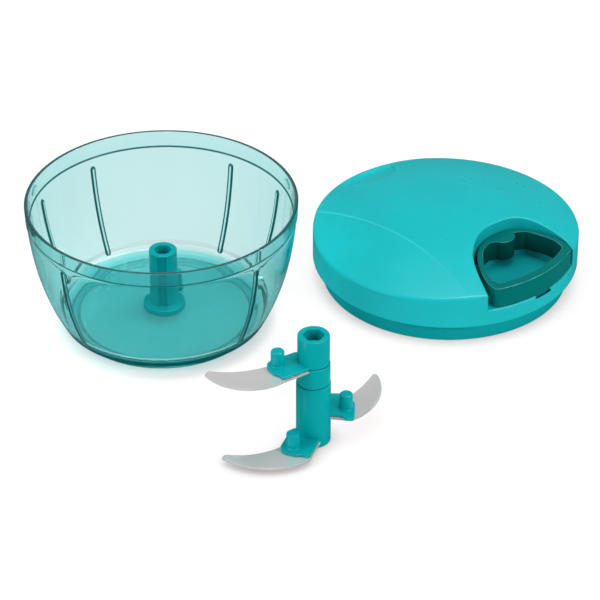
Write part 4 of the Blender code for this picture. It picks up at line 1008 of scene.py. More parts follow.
def armTools(key):
    # the plate, its peg and its two headed stakes as solids to join to a hub section
    arm = arms[key]
    top = arm["top"]
    bottom = top - hub["armThickness"]
    corners = [(*armPoint(arm, x, y), r) for x, y, r in arm["plate"]]
    line = [p[:2] for p in softened(corners, steps=7)]
    tools = [makePiece("armPlate", [plate(line, [], bottom, top, hub["armRound"])], bladePlace, tealPlastic)]
    pegTop = top + hub["pegHeight"]
    radius = hub["pegRadius"]
    foot = radius + hub["pegFlare"]
    sunk = top - hub["sink"]
    peg = [(0, sunk, 0), (foot, sunk, 0), (foot, top + 0.02, 0), (radius, top + 0.6, 0.6),
           (radius, pegTop, 0.85), (0, pegTop, 0)]
    tools.append(roundTool("armPeg", peg, armPoint(arm, *arm["peg"]), bladePlace, tealPlastic))
    headTop = bottom - 2 * gap - blade["thickness"]
    headBottom = headTop - hub["stakeHead"]
    for place, size in (("peg", hub["pegStake"]), ("stake", hub["hubStake"])):
        head = size + hub["stakeLip"]
        stake = [(0, sunk, 0), (size, sunk, 0), (size, headTop, 0), (head, headTop, 0.1),
                 (head - 0.1, headBottom, 0.35), (0, headBottom, 0)]
        tools.append(roundTool("stake", stake, armPoint(arm, *arm[place]), bladePlace, tealPlastic, 24))
    return tools


def hubShape(tag, radius, height, degrees):
    if tag == "socket":
        return radius + sixLobed(hub["socket"], hub["socketWaist"], degrees) - hub["socket"]
    return radius


def buildHub():
    spigotTop = hub["middleTop"] + hub["spigotGrip"]
    # lower section: room for the post below, spigot on top
    corners = [(hub["spigotBore"], spigotTop, 0.2), (hub["spigot"], spigotTop, 0.2),
               (hub["spigot"], hub["lowerTop"], 0.1), (hub["lowerRadius"], hub["lowerTop"], 0.3),
               (hub["lowerRadius"], 0, 0.4), (hub["postRoom"], 0, 0.3),
               (hub["postRoom"], hub["postDepth"], 0.1), (hub["spigotBore"], hub["postDepth"] + 1.5, 0.1)]
    shape = spun(softened(corners), evenAngles(96), closed=True)
    piece = makePiece("hubLower", [shape], bladePlace, tealPlastic)
    room = [(0, -4, 0), (hub["postRoom"] + 0.2, -4, 0), (hub["postRoom"] + 0.2, 20, 0), (0, 20, 0)]
    for key in ("lower", "middle"):
        tools = armTools(key)
        hollow = roundTool("postRoom", room, (0, 0), bladePlace, tealPlastic)
        combine(tools[0], [hollow], "DIFFERENCE")
        combine(piece, tools, "UNION")
    settle(piece, "blade_unit", ["hub_lower"])
    # plain collar
    inner = hub["spigot"] + gap
    bottom = hub["lowerTop"] + gap
    corners = [(hub["middleRadius"], hub["middleTop"], 0.3), (hub["middleRadius"], bottom, 0.25),
               (inner, bottom, 0.1), (inner, hub["middleTop"], 0.1)]
    shape = spun(softened(corners), evenAngles(96), closed=True)
    piece = makePiece("hubCollar", [shape], bladePlace, tealPlastic)
    settle(piece, "blade_unit", ["hub_middle"])
    # upper section with the drive socket
    bottom = hub["middleTop"] + gap
    corners = [(inner, bottom, 0.1), (inner, spigotTop + gap, 0.1),
               (hub["socket"], spigotTop + 0.31, 0, "socket"), (hub["socket"], hub["height"], 0.3, "socket"),
               (hub["upperRadius"], hub["height"], 0.5), (hub["upperRadius"], bottom, 0.25)]
    shape = spun(softened(corners), evenAngles(120), hubShape, closed=True)
    piece = makePiece("hubUpper", [shape], bladePlace, tealPlastic)
    tools = armTools("upper")
    room = [(0, bottom - 4, 0), (inner + 0.2, bottom - 4, 0), (inner + 0.2, spigotTop + 0.2, 0),
            (0, spigotTop + 0.2, 0)]
    hollow = roundTool("spigotRoom", room, (0, 0), bladePlace, tealPlastic)
    combine(tools[0], [hollow], "DIFFERENCE")
    combine(piece, tools, "UNION")
    settle(piece, "blade_unit", ["hub_upper"])


def buildBlade(key, hubRadius):
    arm = arms[key]
    outer = arcThrough(*arm["outer"], 48)
    inner = arcThrough(*arm["inner"], 28)
    tipOut, tipIn = Vector(outer[-1]), Vector(inner[0])
    ahead = (tipOut - Vector(outer[-2])).normalized()
    apex = (tipOut + tipIn) / 2 + ahead * blade["tipBulge"]
    tip = arcThrough(tipOut, apex, tipIn, 12)[1:-1]
    straight = max(across for _, across, _ in arm["plate"][:1] + arm["plate"][-1:]) + 0.4
    back = [armPoint(arm, 3.0, -4.5), armPoint(arm, 0, 0), armPoint(arm, 3.0, straight)]
    ring = outer + tip + inner + back
    turned = anticlockwise(ring)
    inset = grown(turned, -blade["bevel"])
    if turned[0] != ring[0]:
        inset = list(reversed(inset))
    ground = len(outer) + len(tip)
    count = len(ring)
    upper = []
    for i in range(count):
        # the bevel fades out round the tip
        share = 1.0 if i < len(outer) else max(0.0, 1 - (i - len(outer)) / len(tip))
        grownTo = smoothShare((i - blade["narrowPoints"]) / blade["growingPoints"])
        share = share * (blade["bevelStart"] + blade["bevelGrowth"] * grownTo) if i < ground else 0.0
        (x, y), (insetX, insetY) = ring[i], inset[i]
        upper.append((x + (insetX - x) * share, y + (insetY - y) * share))
    top = arm["top"] - hub["armThickness"] - gap
    bottom = top - blade["thickness"]
    points, faces = [], []
    for line, height in ((ring, bottom), (ring, bottom + blade["edge"]), (upper, top)):
        points += [(x, y, height) for x, y in line]
    for low in (0, count):
        for i in range(count):
            j = (i + 1) % count
            faces.append((low + i, low + j, low + count + j, low + count + i))
    for line, height in ((ring, bottom), (upper, top)):
        first = len(points)
        flat, tris = filled(line, [])
        points += [(x, y, height) for x, y in flat]
        faces += [tuple(first + i for i in tri) for tri in tris]
    piece = makePiece("blade" + key.capitalize(), [(points, faces)], bladePlace, bladeSteel, 12)
    low, high = bottom - 4, top + 4
    reach = hubRadius + gap
    room = [(0, low, 0), (reach, low, 0), (reach, high, 0), (0, high, 0)]
    tools = [roundTool("hubRoom", room, (0, 0), bladePlace, bladeSteel, 64)]
    for place, size in (("peg", hub["pegStake"]), ("stake", hub["hubStake"])):
        reach = size + gap
        hole = [(0, low, 0), (reach, low, 0), (reach, high, 0), (0, high, 0)]
        tools.append(roundTool("stakeHole", hole, armPoint(arm, *arm[place]), bladePlace, bladeSteel, 24))
    combine(piece, tools, "DIFFERENCE", 12)
    settle(piece, "blade_unit", ["blade_" + key])


buildHub()
buildBlade("lower", hub["lowerRadius"])
buildBlade("middle", hub["lowerRadius"])
buildBlade("upper", hub["middleRadius"])
print("blade unit built")

# lid cover, in the lid's own frame: x along the pull, y to its left
cover = {
    "domeTop": 34.0, "domeFall": 9.1, "rim": 60.1, "rimRound": 1.2, "skirtBottom": 9.5, "wall": 2.0,
    "creaseOffset": 28.6, "creaseRadius": 215.0, "creaseMiddle": 5.0,
    "creaseStep": 0.42, "creaseLeast": 0.03, "creaseWidth": 0.5, "creaseEnd": 30, "creaseGrowth": 60,
    "panelSlope": 0.048, "panelBend": 0.0004, "backPanel": 0.25,
    "scallopAt": (-59.3, 3.2), "scallopRadius": 16.4, "scallopEdge": 1.4, "scallopDepth": 1.5,
    "scallopDish": 0.6, "scallopRim": 0.5, "scallopFade": 3.5,
    "recessFloor": 13.7, "recessLip": 17.0, "recessRest": 3.0, "lipWall": 2.2, "recessRound": 0.8,
    "floorRound": 0.5, "lipRound": 0.8, "cornerRound": 1.0,
    "notchWidth": 10.5, "notchDepth": 1.3, "notchHeading": 2.0, "notchIn": 54.5,
    "cordLine": 10.6, "cordHeight": 22.8, "guideHole": 2.6, "bossCircle": 44.0,
    "bossHeadings": (75.0, 145.0, 215.0, 285.0),
    "recessSide": ((54.4, 27.2), (45.2, 29.4), (37.1, 28.6), (28.4, 25.7), (23.2, 20.0), (21.8, 10.0),
                   (22.1, 2.6), (24.9, -5.2), (31.7, -14.2), (40.7, -20.4), (54.4, -26.6)),
}
# painted highlight lines on the top, each end as metres along the pull from the lid's axis and a strength,
# and the painted shade of the recess in millimetres
lidMarks = {
    "creaseEnds": ((0.004, 0.34), (0.040, 0.0)), "scallopEnds": ((-0.060, 0.30), (-0.040, 0.22)),
    "scallopLineOut": 0.2, "lineHalf": 0.00055, "lineAbove": 0.0222,
    "hollowFrom": 15, "hollowInside": 2.4, "hollowTop": 1.2, "hollowDepth": 9,
}
# the cord's line and the notch's heading, in the lid's frame
cordWay = Matrix.Translation((0, cover["cordLine"], cover["cordHeight"]))
cordWay = cordWay @ Matrix.Rotation(math.pi / 2, 4, "Y")
notchPlace = lidPlace @ Matrix.Rotation(math.radians(cover["notchHeading"]), 4, "Z")


def creaseAt(x):
    radius = cover["creaseRadius"]
    return cover["creaseOffset"] + radius - math.sqrt(radius ** 2 - (x - cover["creaseMiddle"]) ** 2)


def scallopShare(x, y):
    # distance from the scallop's middle, 1 at its edge
    return math.hypot(x - cover["scallopAt"][0], y - cover["scallopAt"][1]) / cover["scallopRadius"]


def coverHeight(x, y):
    height = cover["domeTop"] - cover["domeFall"] * (x * x + y * y) / cover["rim"] ** 2
    past = abs(y) - creaseAt(x)
    if past > 0:
        grownTo = smoothShare((cover["creaseEnd"] - x) / cover["creaseGrowth"])
        step = cover["creaseStep"] * grownTo + cover["creaseLeast"]
        share = 1.0 if y < 0 else cover["backPanel"]
        height -= share * (step * smoothShare(past / cover["creaseWidth"]) + cover["panelSlope"] * past
                           + cover["panelBend"] * past ** 2)
    out = scallopShare(x, y)
    if out < 1:
        edge = smoothShare((1 - out) * cover["scallopRadius"] / cover["scallopEdge"])
        edge *= smoothShare((cover["rim"] - cover["scallopRim"] - math.hypot(x, y)) / cover["scallopFade"])
        height -= edge * (cover["scallopDepth"] + cover["scallopDish"] * (1 - out * out))
    return height


def lidLines():
    # painted highlights: the crease and the scallop's edge get a thin lighter line
    axis = (pullAxis[0], pullAxis[1])
    middle = lidPlace.translation.x * axis[0] + lidPlace.translation.y * axis[1]
    out = []
    crease = (cover["creaseMiddle"], -cover["creaseOffset"] - cover["creaseRadius"])
    scallopLine = cover["scallopRadius"] + lidMarks["scallopLineOut"]
    for at, radius, ends in ((crease, cover["creaseRadius"], lidMarks["creaseEnds"]),
                             (cover["scallopAt"], scallopLine, lidMarks["scallopEnds"])):
        centre = lidPlace @ Vector((*at, 0))
        ends = tuple((middle + along, strength) for along, strength in ends)
        out.append(((centre.x, centre.y), radius * 0.001, lidMarks["lineHalf"], axis,
                    (*ends, lidMarks["lineAbove"])))
    return out


lidPlastic = mouldedPlastic("lidPlastic", lidLines())


def hollowShare(x, y, z):
    # painted shade: 1 low down in the handle's recess
    if x < lidMarks["hollowFrom"] or math.hypot(x, y) > cover["rim"] - lidMarks["hollowInside"]:
        return 0.0
    return max(0.0, min(1.0, (coverHeight(x, y) - z - lidMarks["hollowTop"]) / lidMarks["hollowDepth"]))


def coverOutlines(rim, recessGrown, cornerRound):
    # the top's outline in two parts, the rim and the recess side, and the arc of the opening
    side = smoothLine(cover["recessSide"], 12)
    if recessGrown:
        first, last = Vector(side[0]), Vector(side[-1])
        loop = anticlockwise(side + [tuple(last * 1.25), (80, 0), tuple(first * 1.25)])
        side = grown(loop, recessGrown)
        start = min(range(len(side)), key=lambda i: (Vector(side[i]) - first).length)
        end = min(range(len(side)), key=lambda i: (Vector(side[i]) - last).length)
        side = side[start:end + 1] if start < end else side[start:] + side[:end + 1]
    inside = [p for p in side if math.hypot(*p) < rim - 0.05]
    ends = []
    for inner, outer in ((inside[0], side[side.index(inside[0]) - 1]),
                         (inside[-1], side[(side.index(inside[-1]) + 1) % len(side)])):
        low, high = 0.0, 1.0
        for _ in range(30):
            t = (low + high) / 2
            point = Vector(inner).lerp(Vector(outer), t)
            low, high = (t, high) if point.length < rim else (low, t)
        ends.append(Vector(inner).lerp(Vector(outer), low))
    keep = 1.7 * cornerRound
    recess = [p for p in inside if min((Vector(p) - e).length for e in ends) > keep]
    first = math.degrees(math.atan2(ends[0].y, ends[0].x)) % 360
    last = math.degrees(math.atan2(ends[1].y, ends[1].x)) % 360
    off = math.degrees(keep / rim)
    # long way round, from the left corner to the right one
    count = 200
    arc = [polar(rim, first + off + (last - first - 2 * off) * k / count) for k in range(count + 1)]
    leftCorner, rightCorner = [
        [p[:2] for p in softened([(*before, 0), (*corner, cornerRound), (*after, 0)], False, 5)[1:-1]]
        for before, corner, after in ((recess[0], ends[0], arc[0]), (arc[-1], ends[1], recess[-1]))]
    rimPart = [leftCorner[-1]] + arc + [rightCorner[0]]
    rimPart = [polar(rim, math.degrees(math.atan2(y, x))) for x, y in rimPart]
    recessPart = rightCorner[1:] + list(reversed(recess)) + leftCorner[:-1]
    startAngle = math.degrees(math.atan2(rimPart[-1][1], rimPart[-1][0])) % 360 - 360
    endAngle = math.degrees(math.atan2(rimPart[0][1], rimPart[0][0])) % 360
    opening = [polar(rim, startAngle + (endAngle - startAngle) * k / 60) for k in range(1, 60)]
    return rimPart, recessPart, opening


def wellOutline(limit):
    # the deep part of the recess, inside the rest that the handle lies on and inside the lip
    side = smoothLine(cover["recessSide"], 12)
    first, last = Vector(side[0]), Vector(side[-1])
    loop = anticlockwise(side + [tuple(last * 1.25), (80, 0), tuple(first * 1.25)])
    inside = [p for p in grown(loop, -cover["recessRest"]) if math.hypot(*p) < limit - 0.6]
    # the loop may start anywhere: begin after the gap at the opening
    gaps = [(Vector(inside[i]) - Vector(inside[i - 1])).length for i in range(len(inside))]
    start = gaps.index(max(gaps))
    inside = inside[start:] + inside[:start]
    low = math.degrees(math.atan2(inside[-1][1], inside[-1][0])) + 1.0
    high = math.degrees(math.atan2(inside[0][1], inside[0][0])) - 1.0
    return anticlockwise(inside + [polar(limit, low + (high - low) * k / 40) for k in range(41)])


def distancesFrom(line, ends):
    return [min((Vector(p) - Vector(e)).length for e in ends) for p in line]


def coverSkin(rim, recessGrown, lower, rounds, cornerRound, floorHeight, grid):
    # one skin of the cover: top, rim, recess and skirt; its lowest ring is left open
    rimRound, recessRound, floorRound, lipRound = rounds
    rimPart, recessPart, opening = coverOutlines(rim, recessGrown, cornerRound)
    top = rimPart + recessPart
    normals = normalsOf(top)
    corners = (rimPart[0], rimPart[-1])
    near = distancesFrom(top, corners)
    points, faces = [], []

    def addRing(ring):
        first = len(points)
        points.extend(ring)
        return first

    def bridge(low, high, count, wrap=True):
        for i in range(count if wrap else count - 1):
            j = (i + 1) % count
            faces.append((low + i, low + j, high + j, high + i))

    steps = 5
    previous = None
    last = None
    for k in range(steps + 1):
        turn = math.pi / 2 * k / steps
        ring = []
        for i, (point, normal) in enumerate(zip(top, normals)):
            if i < len(rimPart):
                size = recessRound + (rimRound - recessRound) * smoothShare(near[i] / 7)
            else:
                size = recessRound
            x = point[0] - normal.x * size * (1 - math.cos(turn))
            y = point[1] - normal.y * size * (1 - math.cos(turn))
            ring.append((x, y, coverHeight(x, y) - lower - size * (1 - math.sin(turn))))
        first = addRing(ring)
        if previous is None:
            wallTop = first
        else:
            bridge(previous, first, len(top))
        previous, last = first, ring
    # the dome inside the rounded edge, with denser rows at the creases and the scallop
    border = [p[:2] for p in last]
    reach = [Vector(p) for p in border]
    extra = []
    creases = []
    for side in (1, -1):
        for off in (0.0, 0.17, 0.34, 0.5, 0.9, 1.6, 2.6, -0.4, -1.0, -2.0):
            line = []
            for k in range(-60, 61):
                x = k * 1.0
                y = side * (creaseAt(x) + off)
                if math.hypot(x, y) < rim - rimRound - 0.4 and insideOutline(x, y, border):
                    if min((Vector((x, y)) - e).length_squared for e in reach) > 0.2:
                        line.append((x, y))
            if line:
                creases.append(line) if off in (0.0, 0.5) and grid < 2 else extra.extend(line)
    size = grid
    rows = int(rim / size)
    for row in range(-rows, rows + 1):
        for column in range(-rows, rows + 1):
            x = (column + 0.5 * (row % 2)) * size
            y = row * size * 0.87
            r = math.hypot(x, y)
            if r > rim - rimRound - 0.5 * size:
                continue
            if min(abs(abs(y) - creaseAt(x) - o) for o in (-1.0, 0.2, 1.6)) < 0.8 and grid < 2:
                continue
            extra.append((x, y))
    if grid < 2:
        for ring in (1.0, 0.985, 0.97, 0.95, 0.93, 0.91, 0.89, 0.86):
            for degrees in range(-90, 91, 2):
                x, y = polar(ring * cover["scallopRadius"], degrees)
                x, y = x + cover["scallopAt"][0], y + cover["scallopAt"][1]
                if math.hypot(x, y) < rim - rimRound - 0.3:
                    extra.append((x, y))
    kept = []
    for x, y in extra:
        if x > 15 and abs(y) < 36:
            if not insideOutline(x, y, border):
                continue
            if min((Vector((x, y)) - e).length_squared for e in reach) < 0.3:
                continue
        kept.append((x, y))
    flat, tris = filled(border, [], kept, creases)
    first = addRing([(x, y, coverHeight(x, y) - lower) for x, y in flat])
    faces.extend(tuple(first + i for i in tri) for tri in tris)
    # rim wall down to the level of the recess floor
    rimCount = len(rimPart)
    ringTop = wallTop
    level = addRing([(*p, floorHeight) for p in rimPart])
    bridge(ringTop, level, rimCount, wrap=False)
    # recess wall with a rounded foot, from one corner to the other
    wallLine = [rimPart[-1]] + recessPart + [rimPart[0]]
    wallNormals = [normals[rimCount - 1]] + normals[rimCount:] + [normals[0]]
    wallNear = distancesFrom(wallLine, corners)
    topIndex = [wallTop + rimCount - 1] + [wallTop + rimCount + i for i in range(len(recessPart))] + [wallTop]
    previousIndex = topIndex
    floorLine = []
    for k in range(steps + 1):
        turn = math.pi / 2 * k / steps
        ring = []
        for p, n, away in zip(wallLine, wallNormals, wallNear):
            foot = floorRound * smoothShare(away / 3)
            out = foot * (1 - math.cos(turn))
            ring.append((p[0] + n.x * out, p[1] + n.y * out, floorHeight + foot * (1 - math.sin(turn))))
        first = addRing(ring)
        index = [first + i for i in range(len(ring))]
        for i in range(len(ring) - 1):
            faces.append((previousIndex[i], previousIndex[i + 1], index[i + 1], index[i]))
        previousIndex = index
        floorLine = ring
    # lip of the opening, and the recess floor
    openLine = [rimPart[-1]] + opening + [rimPart[0]]
    openNear = distancesFrom(openLine, corners)
    lipRings = []
    for k in range(steps + 1):
        turn = math.pi / 2 * k / steps
        ring = []
        for p, away in zip(openLine, openNear):
            lip = lipRound * smoothShare(away / 4)
            scale = (rim - lip * (1 - math.sin(turn))) / rim
            ring.append((p[0] * scale, p[1] * scale, floorHeight - lip * (1 - math.cos(turn))))
        lipRings.append((addRing(ring), ring))
    for (low, _), (high, _) in zip(lipRings, lipRings[1:]):
        bridge(low, high, len(openLine), wrap=False)
    floorOutline = [p[:2] for p in floorLine] + [p[:2] for p in reversed(lipRings[0][1][1:-1])]
    floorOutline = anticlockwise(floorOutline)
    holes = []
    if lower == 0:
        # the deep part, with a rounded upper edge and a rounded foot
        well = wellOutline(rim - cover["lipWall"])
        depth = floorHeight - cover["recessFloor"]
        levels = []
        for k in range(steps + 1):
            turn = math.pi / 2 * k / steps
            levels.append((0.5 * (1 - math.sin(turn)), 0.5 * (1 - math.cos(turn))))
        for k in range(steps + 1):
            turn = math.pi / 2 * k / steps
            levels.append((-floorRound * (1 - math.cos(turn)), depth - floorRound * (1 - math.sin(turn))))
        rings = []
        for off, down in levels:
            line = grown(well, off)
            rings.append((addRing([(x, y, floorHeight - down) for x, y in line]), line))
        for (low, _), (high, _) in zip(rings, rings[1:]):
            bridge(low, high, len(well))
        holes.append(rings[0][1])
        flat, tris = filled(rings[-1][1], [])
        first = addRing([(x, y, cover["recessFloor"]) for x, y in flat])
        faces.extend(tuple(first + i for i in tri) for tri in tris)
    flat, tris = filled(floorOutline, holes)
    first = addRing([(x, y, floorHeight) for x, y in flat])
    faces.extend(tuple(first + i for i in tri) for tri in tris)
    # skirt below, all the way round
    around = [(*p, floorHeight) for p in rimPart] + [p for p in lipRings[-1][1][1:-1]]
    previous = addRing(around)
    bottom = cover["skirtBottom"]
    edge = 0.4 if lower == 0 else 0.2
    for inset, height in ((0, bottom + edge), (0.12 * edge, bottom + 0.5 * edge),
                          (0.5 * edge, bottom + 0.12 * edge), (edge, bottom)):
        side = 1 if lower == 0 else -1
        ring = []
        for p in around:
            scale = (rim - side * inset) / rim
            ring.append((p[0] * scale, p[1] * scale, height))
        first = addRing(ring)
        bridge(previous, first, len(ring))
        previous = first
    return points, faces, [points[previous + i][:2] for i in range(len(around))]


def buildCover():
    rim = cover["rim"]
    wall = cover["wall"]
    rounds = (cover["rimRound"], cover["recessRound"], cover["floorRound"], cover["lipRound"])
    outer = coverSkin(rim, 0, 0, rounds, cover["cornerRound"], cover["recessLip"], 1.5)
    inner = coverSkin(rim - wall, wall, wall, (0.3, 0.3, 0.2, 0.3), 1.0, cover["recessFloor"] - 1.8, 3.0)
    flat, tris = filled(outer[2], [inner[2]])
    foot = ([(x, y, cover["skirtBottom"]) for x, y in flat], tris)
    piece = makePiece("lidCover", [outer[:2], inner[:2], foot], lidPlace, lidPlastic, 30)
    # notch in the lip, and the hole for the cord's bush
    half = cover["notchWidth"] / 2
    depth = cover["recessLip"] - cover["notchDepth"]
    line = softened([(cover["notchIn"], -half * 0.72, 1.2), (rim + 4, -half - 0.4, 0),
                     (rim + 4, half + 0.4, 0), (cover["notchIn"], half * 0.72, 1.2)], steps=6)
    shape = plate([p[:2] for p in line], [], depth, cover["recessLip"] + 6, 0.35)
    notch = makePiece("notch", [shape], notchPlace, lidPlastic)
    corners = [(0, 15, 0), (cover["guideHole"], 15, 0), (cover["guideHole"], 26, 0), (0, 26, 0)]
    shape = spun(softened(corners, closed=False), evenAngles(40))
    hole = makePiece("guideHole", [shape], lidPlace @ cordWay, lidPlastic)
    combine(piece, [notch, hole], "DIFFERENCE", 30)
    # painted shade low down in the handle's recess
    markPoints(piece, "deep", hollowShare, lidPlace)
    settle(piece, "lid", ["lid_cover"])
    print("cover:", len(piece.data.polygons), "faces")


buildCover()

# lid base: the darker ring, its plate and the well over the hub
base = {
    "ring": 55.7, "ringWall": 2.0, "plateBottom": 9.8, "plateTop": 11.4, "flange": 57.3,
    "well": 7.4, "wellWall": 1.5, "wellCeiling": 15.9, "shaftHole": 5.05, "screwHole": 1.7,
}


def buildBase():
    wellTop = base["wellCeiling"] + base["wellWall"]
    wellOutside = base["well"] + base["wellWall"]
    ringInside = base["ring"] - base["ringWall"]
    corners = [(wellOutside, wellTop, 0.3), (wellOutside, base["plateTop"], 0.5),
               (base["flange"], base["plateTop"], 0.2), (base["flange"], base["plateBottom"], 0.1),
               (base["ring"], base["plateBottom"], 0.1), (base["ring"], 0, 0.6),
               (ringInside, 0, 0.4), (ringInside, base["plateBottom"], 0.5),
               (base["well"], base["plateBottom"], 0.4), (base["well"], base["wellCeiling"], 0.3),
               (base["shaftHole"], base["wellCeiling"], 0.1), (base["shaftHole"], wellTop, 0.1)]
    shape = spun(softened(corners), evenAngles(192), closed=True)
    piece = makePiece("lidBase", [shape], lidPlace, basePlastic)
    tools = []
    hole = [(0, 5, 0), (base["screwHole"], 5, 0), (base["screwHole"], 15, 0), (0, 15, 0)]
    for degrees in cover["bossHeadings"]:
        at = polar(cover["bossCircle"], degrees)
        tools.append(roundTool("screwHole", hole, at, lidPlace, basePlastic, 24))
    combine(piece, tools, "DIFFERENCE")
    settle(piece, "lid", ["lid_base"])


screw = {
    "radius": 1.4, "head": 2.8, "headHeight": 1.4, "length": 10.0,
    "slot": 0.55, "slotDepth": 0.8, "slotReach": 1.6,
    "ridges": 8, "ridgeHalf": 0.35, "ridgeDepth": 0.3, "point": 1.2,
}


def buildLidScrews():
    seat = cover["skirtBottom"]
    low = seat - screw["headHeight"]
    core, half = screw["radius"] - screw["ridgeDepth"], screw["ridgeHalf"]
    for number, degrees in enumerate(cover["bossHeadings"], 1):
        corners = [(0, seat + screw["length"], 0), (0.3, seat + screw["length"], 0)]
        # coarse thread as a stack of ridges
        for k in range(screw["ridges"]):
            level = seat + screw["length"] - screw["point"] - k
            corners += [(core, level + half, 0.05), (screw["radius"], level, 0.05),
                        (core, level - half, 0.05)]
        corners += [(screw["radius"] - 0.1, seat, 0.1), (screw["head"], seat, 0.15),
                    (screw["head"] * 0.92, low, 0.8), (0, low, 0)]
        at = polar(cover["bossCircle"], degrees)
        piece = roundTool(f"lidScrew{number}", corners, at, lidPlace, screwSteel, 36)
        tools = []
        x, y = screw["slotReach"], screw["slot"] / 2
        shape = plate([(-x, -y), (x, -y), (x, y), (-x, y)], [], low - 1, low + screw["slotDepth"], 0.02, 1)
        for turn in (25 * number, 25 * number + 90):
            place = lidPlace @ Matrix.Translation((*at, 0)) @ Matrix.Rotation(math.radians(turn), 4, "Z")
            tools.append(makePiece("slot", [shape], place, screwSteel))
        combine(piece, tools, "DIFFERENCE")
        settle(piece, "lid", [f"lid_screw_{number}"])


buildBase()
buildLidScrews()
print("lid cover, base and screws built")

# pull handle, its knot and the cord
handle = {
    "bottom": 17.3, "top": 27.0, "front": 59.5, "wall": 4.2, "soft": 0.45, "bossAt": 25.4, "bossRadius": 5.8,
    "pocketAt": 27.0, "pocketRadius": 2.8, "cordHole": 1.3,
    "tabDepth": 2.4, "tabTaper": 0.82, "tabPlay": 0.5, "tabSink": 1.0,
    "outside": ((54.2, 24.9), (49.4, 27.0), (43.1, 27.3), (37.0, 26.0), (30.6, 23.7), (25.6, 19.9),
                (23.1, 15.0), (22.4, 10.0), (22.8, 3.2), (25.5, -4.1), (30.7, -10.5), (37.5, -16.0),
                (44.5, -20.0), (50.2, -22.3), (54.0, -22.6)),
    "insideRight": ((49.2, 24.0), (43.4, 24.8), (36.0, 23.2), (29.6, 20.6)),
    "insideLeft": ((26.2, 2.2), (28.4, -4.2), (35.1, -10.9), (42.7, -16.6), (48.6, -18.9)),
}
# painted shade on the loop walls and painted highlights on the top edges: how they are drawn
handleMarks = {
    "deepFrom": 0.2, "deepLeast": 0.6, "deepMore": 0.4, "deepReach": 0.35,
    "edgeDown": 0.29, "edgeHalf": 0.06, "glintLeast": 0.06, "glintMiddle": 0.45, "glintSwing": 0.5,
}


def headingOf(point):
    return math.degrees(math.atan2(point[1], point[0]))


def handleLines():
    side = smoothLine(handle["outside"], 8)
    first, last = headingOf(side[-1]), headingOf(side[0])
    front = [polar(handle["front"], first + (last - first) * (0.03 + 0.94 * k / 40)) for k in range(41)]
    right = smoothLine(handle["insideRight"], 8)
    left = smoothLine(handle["insideLeft"], 8)
    boss = []
    for k in range(25):
        x, y = polar(handle["bossRadius"], 75 - 145 * k / 24)
        boss.append((handle["bossAt"] + x, cover["cordLine"] + y))
    radius = handle["front"] - handle["wall"]
    first, last = headingOf(left[-1]) + 2, headingOf(right[0]) - 2
    innerFront = [polar(radius, first + (last - first) * k / 36) for k in range(37)]
    return anticlockwise(side + front), anticlockwise(right + boss + left + innerFront)


def handleDepth(x, y, z, opening):
    # painted shade: 1 on the walls of the finger loop, 0 on the top and outside
    if z > handle["top"] - handleMarks["deepFrom"] or not insideOutline(x, y, opening):
        return 0.0
    down = handle["top"] - z
    return handleMarks["deepLeast"] + handleMarks["deepMore"] * down / (handle["top"] - handle["bottom"])


def handleGlint(x, y, z):
    # painted highlight: the rounded top edges are drawn lighter, unevenly
    if abs(z - handle["top"] + handleMarks["edgeDown"] * handle["soft"]) > handleMarks["edgeHalf"]:
        return 0.0
    swing = handleMarks["glintSwing"] * math.sin(0.31 * x + 0.23 * y - 0.6)
    swing *= math.sin(0.17 * x - 0.29 * y + 0.4)
    return max(handleMarks["glintLeast"], handleMarks["glintMiddle"] + swing)


def buildHandle():
    outside, loop = handleLines()
    shape = plate(outside, [loop], handle["bottom"], handle["top"], handle["soft"], 4)
    piece = makePiece("pullHandle", [shape], lidPlace, handlePlastic)
    top = cover["cordHeight"] + handle["pocketRadius"]
    at = (handle["pocketAt"], cover["cordLine"])
    radius = handle["pocketRadius"]
    room = [(0, 10, 0), (radius, 10, 0), (radius, top, 0.6), (0, top, 0)]
    pocket = roundTool("knotPocket", room, at, lidPlace, handlePlastic)
    corners = [(0, 15, 0), (handle["cordHole"], 15, 0), (handle["cordHole"], handle["pocketAt"], 0),
               (0, handle["pocketAt"], 0)]
    shape = spun(softened(corners, closed=False), evenAngles(32))
    hole = makePiece("cordHole", [shape], lidPlace @ cordWay, handlePlastic)
    combine(piece, [pocket, hole], "DIFFERENCE")
    # the tab that fills the notch in the lip
    half = cover["notchWidth"] / 2 - handle["tabPlay"]
    front, inner = handle["front"], handle["front"] - handle["tabDepth"]
    line = [(inner, -half * handle["tabTaper"])]
    line += [polar(front, math.degrees(-half / front + 2 * half / front * k / 12)) for k in range(13)]
    line.append((inner, half * handle["tabTaper"]))
    low = cover["recessLip"] - cover["notchDepth"] + gap
    shape = plate(line, [], low, handle["bottom"] + handle["tabSink"], 0.3)
    tab = makePiece("tab", [shape], notchPlace, handlePlastic)
    combine(piece, [tab], "UNION")
    # painted shade on the loop walls and painted highlights on the top edges
    opening = grown(loop, handleMarks["deepReach"])
    markPoints(piece, "deep", lambda x, y, z: handleDepth(x, y, z, opening), lidPlace)
    markPoints(piece, "glint", handleGlint, lidPlace)
    settle(piece, "handle", ["pull_handle"])


cord = {
    "radius": 0.9, "start": 4.9, "end": 25.0, "leavesLid": 23.0, "entersHandle": 24.6,
    "knotAt": 26.7, "knotSize": 0.42, "knotDepth": 0.62, "knotCord": 0.78,
    "drumLow": 20.7, "drumHigh": 24.6, "layers": (9.05, 10.6), "woundShare": 0.92,
}


